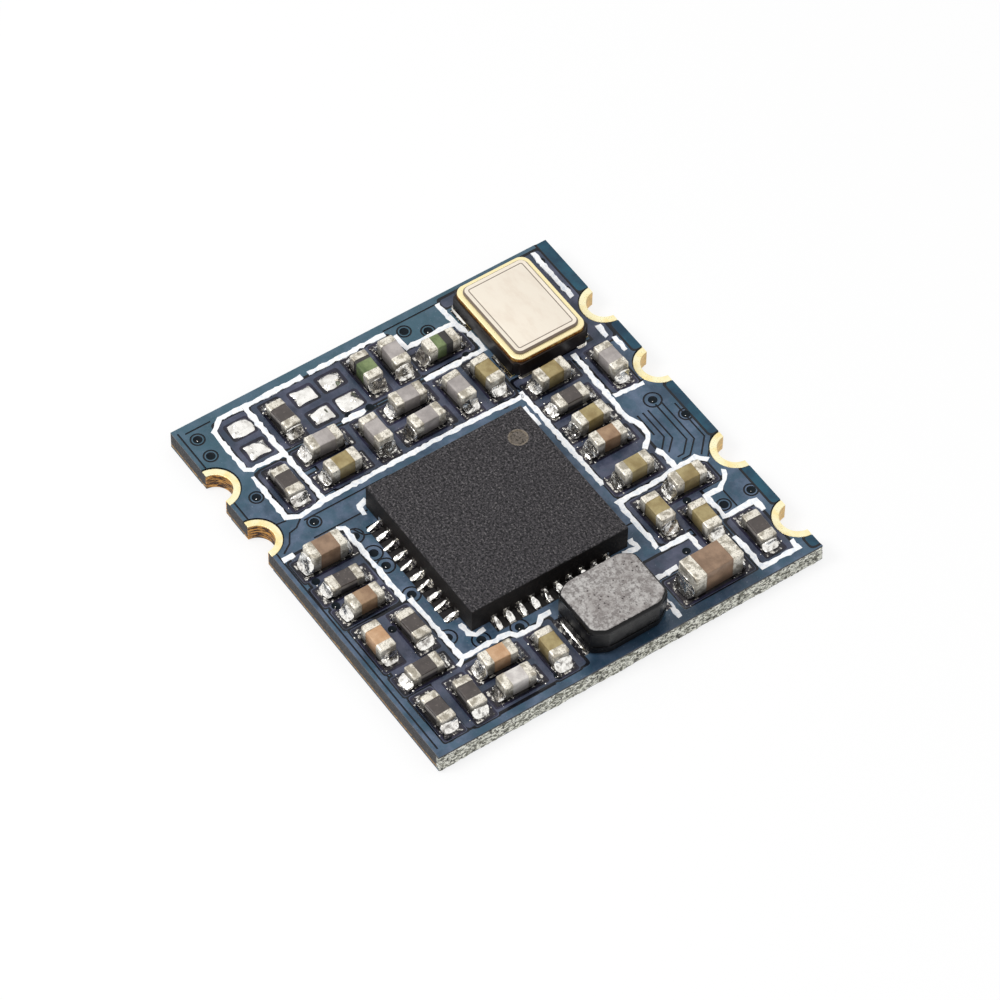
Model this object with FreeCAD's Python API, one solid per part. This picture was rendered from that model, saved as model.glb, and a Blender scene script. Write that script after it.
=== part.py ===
import FreeCAD, Part
import math
import os
from FreeCAD import Placement, Rotation, Vector

# Wifi module: a small circuit board with plated half holes along two edges. It carries one
# leadless radio chip, a sealed crystal, a wound power inductor and rows of chip parts.
# Sizes are in millimetres. The origin is the centre of the board's underside, +X runs along
# the board's long side, +Y across it and +Z up, out of the side with the parts.

# Board: laminate core with copper and solder mask on both faces
board_length = 12.9
board_width = 12.3
core_thickness = 0.48
copper_thickness = 0.035
mask_thickness = 0.025
snap_lean_width = 0.06            # how far the snapped +X edge leans out at its foot
ground_margin = 0.1               # ground plane stops this far from the ends and the rings
print_thickness = 0.01            # white legend print

# Places are written in steps of a layout grid that spans the board, counted from its centre
grid_columns = 129
grid_rows = 123
step_x = board_length / grid_columns
step_y = board_width / grid_rows

# Plated half holes, cut through by the board's edge
half_hole_radius = 0.49
plating_thickness = 0.04
ring_width = 0.2
ring_clearance = 0.03             # mask opening round a ring
hole_offset = 0.03                # hole centre lies this far outside the edge
top_edge_columns = [-36.8, -11.1, 24.5, 52.7]
bottom_edge_columns = [-41.8, -21.1]

# Solder
solder_film = 0.04                # solder between a land and the part on it
land_margin = 0.03                # land wider than its part, each side
fillet_sag_depth = 0.03           # how far a chip part's fillet sags below a flat slope

# Radio chip, leadless, forty leads
chip_place = (10.9, -6.8)
chip_side = 5.0
chip_height = 0.85
chip_bevel_width = 0.03
chip_leads_per_side = 10
chip_lead_pitch = 0.4
chip_lead_width = 0.2
chip_lead_length = 0.4
chip_lead_thickness = 0.2
chip_paddle_side = 3.5
chip_land_reach_length = 0.36
pin_mark_radius = 0.25
pin_mark_depth = 0.02
pin_mark_inset = 0.78

# Crystal in a ceramic case with a metal lid
crystal_place = (-43.5, 38.4)
crystal_length = 3.2
crystal_width = 2.5
crystal_base_height = 0.5
crystal_notch_radius = 0.16
seal_ring_inset = 0.06
seal_ring_width = 0.4
seal_ring_height = 0.13
seal_ring_corner_radius = 0.3
lid_inset = 0.14                  # lid inside the ring's outline
lid_height = 0.1
lid_bevel_width = 0.05
lid_corner_radius = 0.22
crystal_pad_length = 0.9
crystal_pad_width = 0.8
crystal_pad_thickness = 0.03
crystal_land_reach_length = 0.1
crystal_solder_height = 0.17
crystal_cavity_depth = 0.25
blank_length = 1.9                # quartz blank in the sealed case
blank_width = 1.1
blank_thickness = 0.06
blank_shelf_height = 0.14         # shelf that carries one end of the blank
blank_shelf_length = 0.5
blank_end_gap = 0.08              # from the cavity's end to the blank

# Wound power inductor: drum core, winding, resin filling and end terminals
inductor_place = (51.9, 2.0)
inductor_length = 2.5             # along Y
inductor_width = 2.0              # along X
inductor_height = 1.0
inductor_cut_width = 0.25
inductor_cut_length = 0.42
flange_thickness = 0.2
post_radius = 0.5
winding_radius = 0.78
resin_inset = 0.02
terminal_length = 0.5
terminal_thickness = 0.08
terminal_side_margin = 0.3
inductor_land_reach_length = 0.2

# Chip parts: length over the ends, width, height and length of the metal end bands
chip_part_length = 1.0
chip_part_width = 0.5
capacitor_height = 0.5
resistor_height = 0.35
end_band_length = 0.25
large_length = 1.6
large_width = 0.8
large_height = 0.8
large_band_length = 0.36
tall_length = 1.1
tall_width = 0.58
tall_height = 0.65
end_metal_thickness = 0.02        # thickness of the end bands
end_bevel_width = 0.03
overcoat_thickness = 0.015
overcoat_margin = 0.03            # bare alumina beside a resistor's overcoat
land_reach_length = 0.28          # land and solder beyond a part's end
solder_climb_share = 0.7          # solder climbs this share of an end's height

# Lands left without a part, each with a pillow of solder
bump_length = 0.6
bump_width = 0.45
bump_height = 0.14
bump_bevel_width = 0.1
bump_places = [(-55.6, -15.7), (-46.8, -15.4), (-55.4, -24.6), (-46.9, -24.3),
               (-55.3, -45.0), (-46.9, -45.2)]

# Chip parts: kind, column, row and the axis they lie along
along_x, along_y = 0, 90
capacitors = [
    ("small", -17.2, 50.2, along_x), ("small", -31.8, 10.3, along_x),
    ("small", -51.6, 2.3, along_x), ("small", -37.0, -3.0, along_y),
    ("small", -28.0, -3.0, along_y), ("small", -32.0, -16.6, along_x),
    ("small", -37.1, -30.1, along_y), ("small", 56.8, -32.1, along_y),
    ("small", -22.2, 34.0, along_y), ("small", -3.9, 34.2, along_y),
    ("small", 16.8, 34.0, along_y), ("small", 27.4, 43.7, along_y),
    ("small", 41.1, 39.6, along_x), ("small", 32.2, 30.7, along_x),
    ("small", -32.2, 19.8, along_x), ("small", -27.7, -30.2, along_y),
    ("small", 53.0, -18.3, along_x), ("small", 4.4, 34.0, along_y),
    ("small", 13.2, -50.3, along_y), ("small", 26.2, -54.6, along_x),
    ("small", 48.1, -31.9, along_y), ("tall", -5.7, -50.2, along_y),
    ("large", 55.8, 30.9, along_y)]
resistors = [
    (-13.0, 33.8, along_y), (51.4, 50.0, along_x), (-50.9, -34.0, along_x),
    (-31.4, -45.4, along_x), (4.4, -50.8, along_y), (27.0, -44.2, along_x),
    (40.0, -49.5, along_y), (53.3, -44.3, along_x), (52.8, -53.9, along_x)]
chip_inductors = [(-47.5, 14.9, along_y), (-51.6, -6.7, along_x)]

# White legend lines, as runs of grid points, and their widths
legend_width = 0.13
legend_lines = [
    [(-62.3, 55.7), (-43.4, 55.7)], [(-30.8, 55.6), (-26.4, 55.6)],
    [(-25.3, 57.0), (-19.5, 57.0)], [(-7.3, 54.4), (-8.2, 45.0)],
    [(-26.4, 44.2), (0, 43.6), (4.0, 45.0), (7.8, 45.0), (11.5, 41.2)],
    [(-62.0, 23.2), (-53.0, 23.5), (-49.0, 24.9), (-41.4, 25.1), (-41.4, 5.7)],
    [(-53.6, 23.5), (-53.6, 7.9), (-58.8, 7.5)],
    [(-61.0, 5.3), (-61.0, -19.6)], [(-61.0, -21.3), (-61.0, -40.2), (-21.9, -39.8)],
    [(-22.0, 24.7), (-22.5, 0), (-22.0, -40.0), (-21.2, -48.0), (-23.0, -51.5),
     (-39.5, -51.3)],
    [(-61.0, -41.0), (-61.2, -48.0), (-58.2, -51.7), (-42.5, -51.7), (-41.6, -50.0),
     (-41.5, -39.5)],
    [(-41.6, -13.6), (-41.6, -21.3)],
    [(-23.4, 24.7), (15.2, 24.7)], [(-18.6, 22.3), (-11.2, 22.3)],
    [(13.4, 43.6), (16.0, 44.5), (21.4, 44.5)],
    [(23.9, 53.3), (21.3, 51.0), (21.4, 43.0), (22.4, 38.0), (22.4, 24.7), (40.7, 24.7)],
    [(41.7, 25.0), (41.7, 34.0), (47.2, 34.0)],
    [(29.1, 54.6), (32.0, 53.0), (33.7, 50.0), (33.7, 45.6), (42.2, 45.6), (42.2, 55.6),
     (46.0, 55.6)],
    [(58.3, 55.5), (61.4, 55.7), (61.3, 44.0), (49.0, 44.0)],
    [(48.9, 25.3), (48.9, 18.6)], [(55.2, 16.3), (62.6, 16.4)],
    [(34.4, 20.3), (37.6, 20.3), (37.2, 15.7)],
    [(42.0, -11.0), (42.2, -14.0), (43.9, -16.0), (43.6, -22.6), (41.7, -24.0),
     (41.5, -38.5), (43.0, -40.9)],
    [(18.0, -39.2), (41.0, -38.6)], [(-12.3, -42.4), (-11.2, -40.7), (17.6, -40.7)],
    [(-11.2, -56.5), (-11.2, -60.0)],
    [(32.0, -32.8), (36.0, -32.8), (37.4, -31.3), (37.2, -28.5)],
    [(-16.0, -30.7), (-15.3, -33.0), (-11.9, -33.7)]]

# Heights of the layers
core_bottom = mask_thickness + copper_thickness
core_top = core_bottom + core_thickness
land_top = core_top + copper_thickness
mask_top = land_top + mask_thickness
seat = land_top + solder_film
ring_radius = half_hole_radius + ring_width
touch = 0.001                     # an edge this near a plane lies in it

up, along = Vector(0, 0, 1), Vector(1, 0, 0)


def spot(column, row):
    """A place on the layout grid, in millimetres from the board's centre."""
    return Vector(column * step_x, row * step_y, 0)


def rectangle(centre, size_x, size_y, turn=0):
    """A flat rectangle on z = 0."""
    half_x, half_y = size_x / 2, size_y / 2
    corners = [(-half_x, -half_y), (half_x, -half_y), (half_x, half_y), (-half_x, half_y)]
    face = Part.Face(Part.makePolygon([Vector(x, y, 0) for x, y in corners + corners[:1]]))
    face.Placement = Placement(centre, Rotation(up, turn))
    return face


def rounded_rectangle(size_x, size_y, radius):
    """A flat rectangle with round corners, centred on the origin."""
    box = Part.makeBox(size_x, size_y, 1, Vector(-size_x / 2, -size_y / 2, 0))
    uprights = [e for e in box.Edges if e.Vertexes[0].Z != e.Vertexes[1].Z]
    rounded = box.makeFillet(radius, uprights)
    return min(rounded.Faces, key=lambda face: face.CenterOfMass.z)


def disc(centre, radius):
    """A flat disc on z = 0."""
    return Part.Face(Part.Wire(Part.makeCircle(radius, centre)))


def stroke(points, width):
    """A flat band of even width along a run of points, with mitred turns."""
    headings = [(b - a).normalize() for a, b in zip(points, points[1:])]
    left, right = [], []
    for index, point in enumerate(points):
        before = headings[max(index - 1, 0)]
        after = headings[min(index, len(headings) - 1)]
        side = Vector(-before.y - after.y, before.x + after.x, 0).normalize()
        reach = width / 2 / side.dot(Vector(-before.y, before.x, 0))
        left.append(point + side * reach)
        right.append(point - side * reach)
    outline = left + right[::-1]
    return Part.Face(Part.makePolygon(outline + outline[:1]))


def slab(face, low, high):
    """A flat shape raised into a plate between two heights."""
    plate = face.copy()
    plate.translate(Vector(0, 0, low))
    return plate.extrude(Vector(0, 0, high - low))


def bevel_rim(shape, size, normal, distance):
    """A shape with the edges of its face in one plane cut back."""
    rim = [e for e in shape.Edges
           if all(abs(v.Point.dot(normal) - distance) < touch for v in e.Vertexes)]
    return shape.makeChamfer(size, rim)


def place(shape, centre, turn):
    """A copy of a shape turned about Z and set at a place on the board."""
    copy = shape.copy()
    copy.Placement = Placement(centre, Rotation(up, turn))
    return copy


def save(name, shape):
    """One node of the module."""
    shape.exportStep(os.path.join("parts", name + ".step"))


def solder_joint(width, inner, end, outer, climb, sag_depth=0):
    """Solder on one land: a film from inner to end, and a fillet from end to outer.

    The joint runs along +X from the part's middle, and its heights are the board's. The
    fillet is a flat slope, or an arc that sags below that slope.
    """
    foot = Vector(outer, 0, land_top)
    head = Vector(end, 0, seat + climb)
    slope = head - foot
    sag = (head + foot) / 2 - Vector(slope.z, 0, -slope.x).normalize() * sag_depth
    surface = Part.Arc(foot, sag, head) if sag_depth else Part.LineSegment(foot, head)
    edges = [
        Part.LineSegment(Vector(inner, 0, land_top), foot),
        surface,
        Part.LineSegment(head, Vector(end, 0, seat)),
        Part.LineSegment(Vector(end, 0, seat), Vector(inner, 0, seat)),
        Part.LineSegment(Vector(inner, 0, seat), Vector(inner, 0, land_top))]
    profile = Part.Face(Part.Wire([edge.toShape() for edge in edges]))
    profile.translate(Vector(0, -width / 2, 0))
    return profile.extrude(Vector(0, width, 0))


def end_pair(shape, centre, turn):
    """A shape made for a part's +X end, set at both of its ends."""
    return [place(shape, centre, turn), place(shape, centre, turn + 180)]


class Layout:
    """What the parts ask of the board: copper lands, mask openings, solder and end bands."""

    def __init__(self):
        self.lands = []
        self.openings = []
        self.solder = []
        self.end_bands = []

    def add_land(self, land):
        """A land with a mask opening of its own size."""
        self.lands.append(land)
        self.openings.append(land)

    def add_end_lands(self, centre, turn, width, inner, outer):
        """Two lands, one under each end of a part, in one mask opening."""
        direction = Rotation(up, turn).multVec(along)
        for side in (1, -1):
            land_centre = centre + direction * (inner + outer) / 2 * side
            self.lands.append(rectangle(land_centre, outer - inner, width, turn))
        self.openings.append(rectangle(centre, 2 * outer, width, turn))


def chip_part(layout, column, row, turn, length, width, height, band):
    """A capacitor or chip inductor: ceramic block with a metal cup over each end."""
    centre = spot(column, row)
    core_x, core_y = length - 2 * end_metal_thickness, width - 2 * end_metal_thickness
    block = Part.makeBox(core_x, core_y, height - 2 * end_metal_thickness,
                         Vector(-core_x / 2, -core_y / 2, seat + end_metal_thickness))
    top, end = seat + height, length / 2
    profile = [Vector(end - band, 0, seat), Vector(end, 0, seat),
               Vector(end, 0, top - end_bevel_width), Vector(end - end_bevel_width, 0, top),
               Vector(end - band, 0, top)]
    cup = Part.Face(Part.makePolygon(profile + profile[:1]))
    cup.translate(Vector(0, -width / 2, 0))
    cup = cup.extrude(Vector(0, width, 0)).cut(block)
    layout.end_bands += end_pair(cup, centre, turn)
    climb = height * solder_climb_share
    outer = length / 2 + land_reach_length
    joint = solder_joint(width, length / 2 - band, length / 2, outer, climb, fillet_sag_depth)
    layout.solder += end_pair(joint, centre, turn)
    layout.add_end_lands(centre, turn, width + 2 * land_margin, length / 2 - band, outer)
    return place(block, centre, turn)


def resistor(layout, column, row, turn):
    """A thick film resistor: flat block, overcoat on top and a wrapped end at each side."""
    centre = spot(column, row)
    length, width, height = chip_part_length, chip_part_width, resistor_height
    core_x = length - 2 * end_metal_thickness
    core_height = height - 2 * end_metal_thickness
    block = Part.makeBox(core_x, width, core_height,
                         Vector(-core_x / 2, -width / 2, seat + end_metal_thickness))
    coat_x = length - 2 * end_band_length
    coat_low = seat + height - end_metal_thickness
    coat = Part.makeBox(coat_x, width - 2 * overcoat_margin, overcoat_thickness,
                        Vector(-coat_x / 2, overcoat_margin - width / 2, coat_low))
    wrap = Part.makeBox(end_band_length, width, height,
                        Vector(length / 2 - end_band_length, -width / 2, seat))
    layout.end_bands += end_pair(wrap.cut(block), centre, turn)
    outer = length / 2 + land_reach_length
    climb = height * solder_climb_share
    joint = solder_joint(width, length / 2 - end_band_length, length / 2, outer, climb, fillet_sag_depth)
    layout.solder += end_pair(joint, centre, turn)
    layout.add_end_lands(centre, turn, width + 2 * land_margin, length / 2 - end_band_length, outer)
    return Part.makeCompound([place(block, centre, turn), place(coat, centre, turn)])


def chip(layout):
    """The radio chip: moulded body, lead frame and the solder under and beyond its leads."""
    centre = spot(*chip_place)
    half = chip_side / 2
    body = Part.makeBox(chip_side, chip_side, chip_height, Vector(-half, -half, seat))
    body = bevel_rim(body, chip_bevel_width, up, seat + chip_height)
    mark_at = Vector(-half + pin_mark_inset, half - pin_mark_inset,
                     seat + chip_height - pin_mark_depth)
    body = body.cut(Part.makeCylinder(pin_mark_radius, chip_height, mark_at))
    lead = Part.makeBox(chip_lead_length, chip_lead_width, chip_lead_thickness,
                        Vector(half - chip_lead_length, -chip_lead_width / 2, seat))
    joint = solder_joint(chip_lead_width, half - chip_lead_length, half,
                         half + chip_land_reach_length, chip_lead_thickness)
    leads = []
    span = (chip_leads_per_side - 1) * chip_lead_pitch
    for turn in (0, 90, 180, 270):
        outwards = Rotation(up, turn).multVec(along)
        across = up.cross(outwards)
        for index in range(chip_leads_per_side):
            shift = across * (index * chip_lead_pitch - span / 2)
            leads.append(place(lead, shift, turn))
            layout.solder.append(place(joint, centre + shift, turn))
            land_length = chip_lead_length + chip_land_reach_length
            land_middle = outwards * (half - chip_lead_length + land_length / 2)
            layout.lands.append(rectangle(centre + shift + land_middle, land_length,
                                          chip_lead_width, turn))
    paddle = slab(rectangle(Vector(), chip_paddle_side, chip_paddle_side), seat,
                  seat + chip_lead_thickness)
    frame = leads + [paddle]
    body = body.cut(Part.makeCompound(frame))
    paddle_face = rectangle(centre, chip_paddle_side, chip_paddle_side)
    layout.lands.append(paddle_face)
    layout.solder.append(slab(paddle_face, land_top, seat))
    opening_length = chip_side + 2 * (chip_land_reach_length + land_margin)
    opening_width = span + chip_lead_width + 2 * land_margin
    layout.openings.append(rectangle(centre, opening_length, opening_width))
    layout.openings.append(rectangle(centre, opening_width, opening_length))
    return place(body, centre, 0), place(Part.makeCompound(frame), centre, 0)


def crystal(layout):
    """The crystal: ceramic case with notched corners, seal ring, bevelled lid, pads and blank."""
    centre = spot(*crystal_place)
    half_x, half_y = crystal_length / 2, crystal_width / 2
    corners = [(x, y) for x in (-half_x, half_x) for y in (-half_y, half_y)]
    notches = Part.makeCompound([disc(Vector(x, y, 0), crystal_notch_radius)
                                 for x, y in corners])
    base_low = seat + crystal_pad_thickness
    base_high = base_low + crystal_base_height
    base_face = rectangle(Vector(), crystal_length, crystal_width).cut(notches)
    base = slab(base_face.Faces[0], base_low, base_high)

    ring_x = crystal_length - 2 * seal_ring_inset
    ring_y = crystal_width - 2 * seal_ring_inset
    inner_x, inner_y = ring_x - 2 * seal_ring_width, ring_y - 2 * seal_ring_width
    ring_high = base_high + seal_ring_height
    ring = slab(rounded_rectangle(ring_x, ring_y, seal_ring_corner_radius), base_high, ring_high)
    mouth = rectangle(Vector(), inner_x, inner_y)
    ring = ring.cut(slab(mouth, base_high, ring_high))

    cavity_low = base_high - crystal_cavity_depth
    cavity_end = -inner_x / 2
    shelf = Part.makeBox(blank_shelf_length, inner_y, blank_shelf_height,
                         Vector(cavity_end, -inner_y / 2, cavity_low))
    base = base.cut(slab(mouth, cavity_low, base_high).cut(shelf))
    blank_middle = Vector(cavity_end + blank_end_gap + blank_length / 2, 0, 0)
    blank_low = cavity_low + blank_shelf_height
    blank = slab(rectangle(blank_middle, blank_length, blank_width), blank_low,
                 blank_low + blank_thickness)

    lid_x, lid_y = ring_x - 2 * lid_inset, ring_y - 2 * lid_inset
    lid_high = ring_high + lid_height
    lid = slab(rounded_rectangle(lid_x, lid_y, lid_corner_radius), ring_high, lid_high)
    lid = bevel_rim(lid, lid_bevel_width, up, lid_high)

    pads = []
    for x, y in corners:
        side_x, side_y = math.copysign(1, x), math.copysign(1, y)
        pad_centre = Vector(x - side_x * (crystal_notch_radius + crystal_pad_length / 2),
                            y - side_y * crystal_pad_width / 2, 0)
        pad_face = rectangle(pad_centre, crystal_pad_length, crystal_pad_width)
        pads.append(slab(pad_face, seat, base_low))
        turn = 90 * side_y
        joint = solder_joint(crystal_pad_length, half_y - crystal_pad_width, half_y,
                             half_y + crystal_land_reach_length, crystal_solder_height)
        layout.solder.append(place(joint, centre + Vector(pad_centre.x, 0, 0), turn))
        land_width = crystal_pad_width + crystal_land_reach_length
        land_row = side_y * (half_y + crystal_land_reach_length - land_width / 2)
        land_centre = centre + Vector(pad_centre.x, land_row, 0)
        layout.add_land(rectangle(land_centre, crystal_pad_length, land_width))
    return [place(shape, centre, 0)
            for shape in (base, ring, lid, Part.makeCompound(pads), blank)]


def octagon(size_x, size_y, cut_x, cut_y):
    """A flat rectangle with its corners cut off, centred on the origin."""
    half_x, half_y = size_x / 2, size_y / 2
    points = []
    for sign_x, sign_y in ((1, 1), (-1, 1), (-1, -1), (1, -1)):
        pair = [Vector(sign_x * half_x, sign_y * (half_y - cut_y), 0),
                Vector(sign_x * (half_x - cut_x), sign_y * half_y, 0)]
        points += pair if sign_x * sign_y > 0 else pair[::-1]
    return Part.Face(Part.makePolygon(points + points[:1]))


def power_inductor(layout):
    """The power inductor: drum core, winding on its post, resin filling and terminals."""
    centre = spot(*inductor_place)
    outline = octagon(inductor_width, inductor_length, inductor_cut_width, inductor_cut_length)
    low = seat + terminal_thickness
    high = seat + inductor_height
    lower_top, upper_low = low + flange_thickness, high - flange_thickness
    core = slab(outline, low, lower_top)
    core = core.fuse(slab(disc(Vector(), post_radius), lower_top, upper_low))
    core = core.fuse(slab(outline, upper_low, high))
    winding_face = disc(Vector(), winding_radius).cut(disc(Vector(), post_radius))
    winding = slab(winding_face.Faces[0], lower_top, upper_low)
    resin_outline = octagon(inductor_width - 2 * resin_inset,
                            inductor_length - 2 * resin_inset,
                            inductor_cut_width, inductor_cut_length)
    resin_face = resin_outline.cut(disc(Vector(), winding_radius)).Faces[0]
    resin = slab(resin_face, lower_top, upper_low)
    half = inductor_length / 2
    terminal_width = inductor_width - 2 * terminal_side_margin
    terminal = slab(rectangle(Vector(half - terminal_length / 2, 0, 0), terminal_length,
                              terminal_width), seat, low)
    outer = half + inductor_land_reach_length
    joint = solder_joint(terminal_width, half - terminal_length, half, outer,
                         terminal_thickness)
    layout.solder += end_pair(joint, centre, along_y)
    layout.add_end_lands(centre, along_y, terminal_width, half - terminal_length, outer)
    terminals = Part.makeCompound(end_pair(terminal, centre, along_y))
    return [place(core, centre, 0), place(winding, centre, 0), place(resin, centre, 0),
            terminals]


def half_hole_centres():
    """The centres of the plated half holes, just outside the two long edges."""
    edge = board_width / 2 + hole_offset
    upper = [spot(column, 0) + Vector(0, edge, 0) for column in top_edge_columns]
    lower = [spot(column, 0) - Vector(0, edge, 0) for column in bottom_edge_columns]
    return upper + lower


def edge_contact(centre):
    """One plated half hole: barrel with a flat ring on both faces, cut off at the edge."""
    rings = disc(centre, ring_radius).cut(disc(centre, half_hole_radius)).Faces[0]
    wall = disc(centre, half_hole_radius + plating_thickness)
    wall = wall.cut(disc(centre, half_hole_radius)).Faces[0]
    contact = slab(wall, mask_thickness, land_top)
    contact = contact.fuse([slab(rings, mask_thickness, core_bottom),
                            slab(rings, core_top, land_top)])
    blank = slab(rectangle(Vector(), board_length, board_width), 0, mask_top)
    return contact.common(blank).removeSplitter()


def discs(radius):
    """A disc of one radius at every half hole."""
    return [disc(centre, radius) for centre in half_hole_centres()]


def core():
    """The laminate, with its leaning snapped edge and its half holes."""
    left, right = -board_length / 2, board_length / 2
    section = [Vector(left, 0, core_bottom), Vector(right + snap_lean_width, 0, core_bottom),
               Vector(right, 0, core_top), Vector(left, 0, core_top)]
    section = [point - Vector(0, board_width / 2, 0) for point in section]
    plate = Part.Face(Part.makePolygon(section + section[:1]))
    plate = plate.extrude(Vector(0, board_width, 0))
    holes = [slab(hole, core_bottom, core_top)
             for hole in discs(half_hole_radius + plating_thickness)]
    return plate.cut(holes)


def top_side(layout):
    """Lands, solder mask and legend print on the side with the parts."""
    lands = Part.makeCompound([slab(face, core_top, land_top) for face in layout.lands])
    rings = discs(ring_radius + ring_clearance)
    sheet = rectangle(Vector(), board_length, board_width).cut(rings)
    mask = slab(sheet.Faces[0], core_top, mask_top)
    openings = [slab(face, core_top, mask_top) for face in layout.openings]
    mask = mask.cut(openings)

    strokes = [stroke([spot(*point) for point in run], legend_width) for run in legend_lines]
    legend = strokes[0].multiFuse(strokes[1:]).removeSplitter()
    legend = legend.cut(layout.openings + rings)
    legend = Part.makeCompound([slab(face, mask_top, mask_top + print_thickness)
                                for face in legend.Faces])
    return lands, mask, legend


def underside():
    """Ground plane and solder mask on the board's plain lower face."""
    reach = board_width / 2 + hole_offset - ring_radius - ground_margin
    plane = rectangle(Vector(), board_length - 2 * ground_margin, 2 * reach)
    plane = slab(plane, mask_thickness, core_bottom)
    sheet = rectangle(Vector(), board_length, board_width)
    sheet = sheet.cut(discs(ring_radius + ring_clearance))
    return plane, slab(sheet.Faces[0], 0, core_bottom).cut(plane)


def solder_bump(layout, centre):
    """A pillow of solder on an empty land."""
    land = rectangle(centre, bump_width, bump_length)
    pillow = slab(land, land_top, land_top + bump_height)
    layout.add_land(land)
    layout.solder.append(bevel_rim(pillow, bump_bevel_width, up, land_top + bump_height))


def main():
    os.makedirs("parts", exist_ok=True)
    layout = Layout()

    small = (chip_part_length, chip_part_width, capacitor_height, end_band_length)
    tall = (tall_length, tall_width, tall_height, end_band_length)
    large = (large_length, large_width, large_height, large_band_length)
    sizes = {"small": small, "tall": tall, "large": large}
    for number, (kind, column, row, turn) in enumerate(capacitors, 1):
        save(f"capacitor_{number}", chip_part(layout, column, row, turn, *sizes[kind]))
    for number, (column, row, turn) in enumerate(chip_inductors, 1):
        save(f"chip_inductor_{number}", chip_part(layout, column, row, turn, *small))
    for number, (column, row, turn) in enumerate(resistors, 1):
        save(f"resistor_{number}", resistor(layout, column, row, turn))

    chip_body, lead_frame = chip(layout)
    save("chip_body", chip_body)
    save("chip_lead_frame", lead_frame)
    crystal_names = ("crystal_base", "crystal_seal_ring", "crystal_lid", "crystal_pads",
                     "crystal_blank")
    for name, shape in zip(crystal_names, crystal(layout)):
        save(name, shape)
    inductor_names = ("inductor_core", "inductor_winding", "inductor_resin",
                      "inductor_terminals")
    for name, shape in zip(inductor_names, power_inductor(layout)):
        save(name, shape)

    for column, row in bump_places:
        solder_bump(layout, spot(column, row))
    save("solder_joints", Part.makeCompound(layout.solder))
    save("end_bands", Part.makeCompound(layout.end_bands))

    save("board_core", core())
    for number, centre in enumerate(half_hole_centres(), 1):
        save(f"edge_contact_{number}", edge_contact(centre))
    for name, shape in zip(("copper_top", "solder_mask_top", "legend_print"),
                           top_side(layout)):
        save(name, shape)
    for name, shape in zip(("copper_bottom", "solder_mask_bottom"), underside()):
        save(name, shape)


main()
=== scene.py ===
import math

import bpy
from mathutils import Matrix, Vector, noise


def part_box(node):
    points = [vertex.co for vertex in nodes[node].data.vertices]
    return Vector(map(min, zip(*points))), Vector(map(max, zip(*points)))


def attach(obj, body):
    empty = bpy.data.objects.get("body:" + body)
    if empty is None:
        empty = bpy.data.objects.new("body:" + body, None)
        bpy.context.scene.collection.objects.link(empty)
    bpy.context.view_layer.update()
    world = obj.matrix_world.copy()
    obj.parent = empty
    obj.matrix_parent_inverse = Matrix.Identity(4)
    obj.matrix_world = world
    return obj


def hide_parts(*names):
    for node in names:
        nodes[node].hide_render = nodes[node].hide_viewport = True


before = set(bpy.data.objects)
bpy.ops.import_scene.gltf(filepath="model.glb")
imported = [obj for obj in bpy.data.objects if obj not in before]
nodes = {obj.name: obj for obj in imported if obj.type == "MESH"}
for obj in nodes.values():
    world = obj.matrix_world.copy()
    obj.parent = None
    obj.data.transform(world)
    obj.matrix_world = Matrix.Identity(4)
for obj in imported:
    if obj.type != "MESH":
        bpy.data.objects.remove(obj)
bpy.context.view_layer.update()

# The looks of a small radio module. Places in the tables are millimetres in the model's frame.
mm = 0.001
print("frame:", len(nodes), "nodes")

level = {"land": 0.575, "mask": 0.600, "print": 0.010, "seat": 0.615}


def deselectAll():
    active = bpy.context.view_layer.objects.active
    if active and active.mode != "OBJECT":
        bpy.ops.object.mode_set(mode="OBJECT")
    bpy.ops.object.select_all(action="DESELECT")


def useOnly(piece):
    deselectAll()
    piece.select_set(True)
    bpy.context.view_layer.objects.active = piece


def editNothing(piece, kind):
    useOnly(piece)
    bpy.ops.object.mode_set(mode="EDIT")
    bpy.ops.mesh.select_mode(type=kind)
    bpy.ops.mesh.select_all(action="DESELECT")
    bpy.ops.object.mode_set(mode="OBJECT")


def pickFaces(piece, test):
    # test sees each face's middle in millimetres and its normal
    editNothing(piece, "FACE")
    for face in piece.data.polygons:
        face.select = bool(test(face.center / mm, face.normal))
    bpy.ops.object.mode_set(mode="EDIT")


def pickEdges(piece, test):
    # test sees both ends of each edge in millimetres
    editNothing(piece, "EDGE")
    points = piece.data.vertices
    for edge in piece.data.edges:
        start, end = (points[index].co / mm for index in edge.vertices)
        edge.select = bool(test(start, end))
    bpy.ops.object.mode_set(mode="EDIT")


def pickPoints(piece, test):
    # test sees each point in millimetres
    editNothing(piece, "VERT")
    for vertex in piece.data.vertices:
        vertex.select = bool(test(vertex.co / mm))
    bpy.ops.object.mode_set(mode="EDIT")


def pickAll(piece):
    useOnly(piece)
    bpy.ops.object.mode_set(mode="EDIT")
    bpy.ops.mesh.select_mode(type="VERT")
    bpy.ops.mesh.select_all(action="SELECT")


def leaveEdit():
    bpy.ops.object.mode_set(mode="OBJECT")


def bevelPicked(width, segments=3, profile=0.5):
    bpy.ops.mesh.bevel(offset=width * mm, offset_type="OFFSET", segments=segments,
                       profile=profile, clamp_overlap=True, affect="EDGES")
    leaveEdit()


def settle(piece):
    # the object's place goes into its mesh
    useOnly(piece)
    bpy.ops.object.transform_apply(location=True, rotation=True, scale=True)


def takeNew(name):
    # the primitive that was just added, named and settled
    piece = bpy.context.object
    piece.name = piece.data.name = name
    settle(piece)
    return piece


def newBlock(name, low, high):
    deselectAll()
    low, high = Vector(low), Vector(high)
    bpy.ops.mesh.primitive_cube_add(size=1, location=(low + high) / 2 * mm,
                                    scale=(high - low) * mm)
    return takeNew(name)


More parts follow.
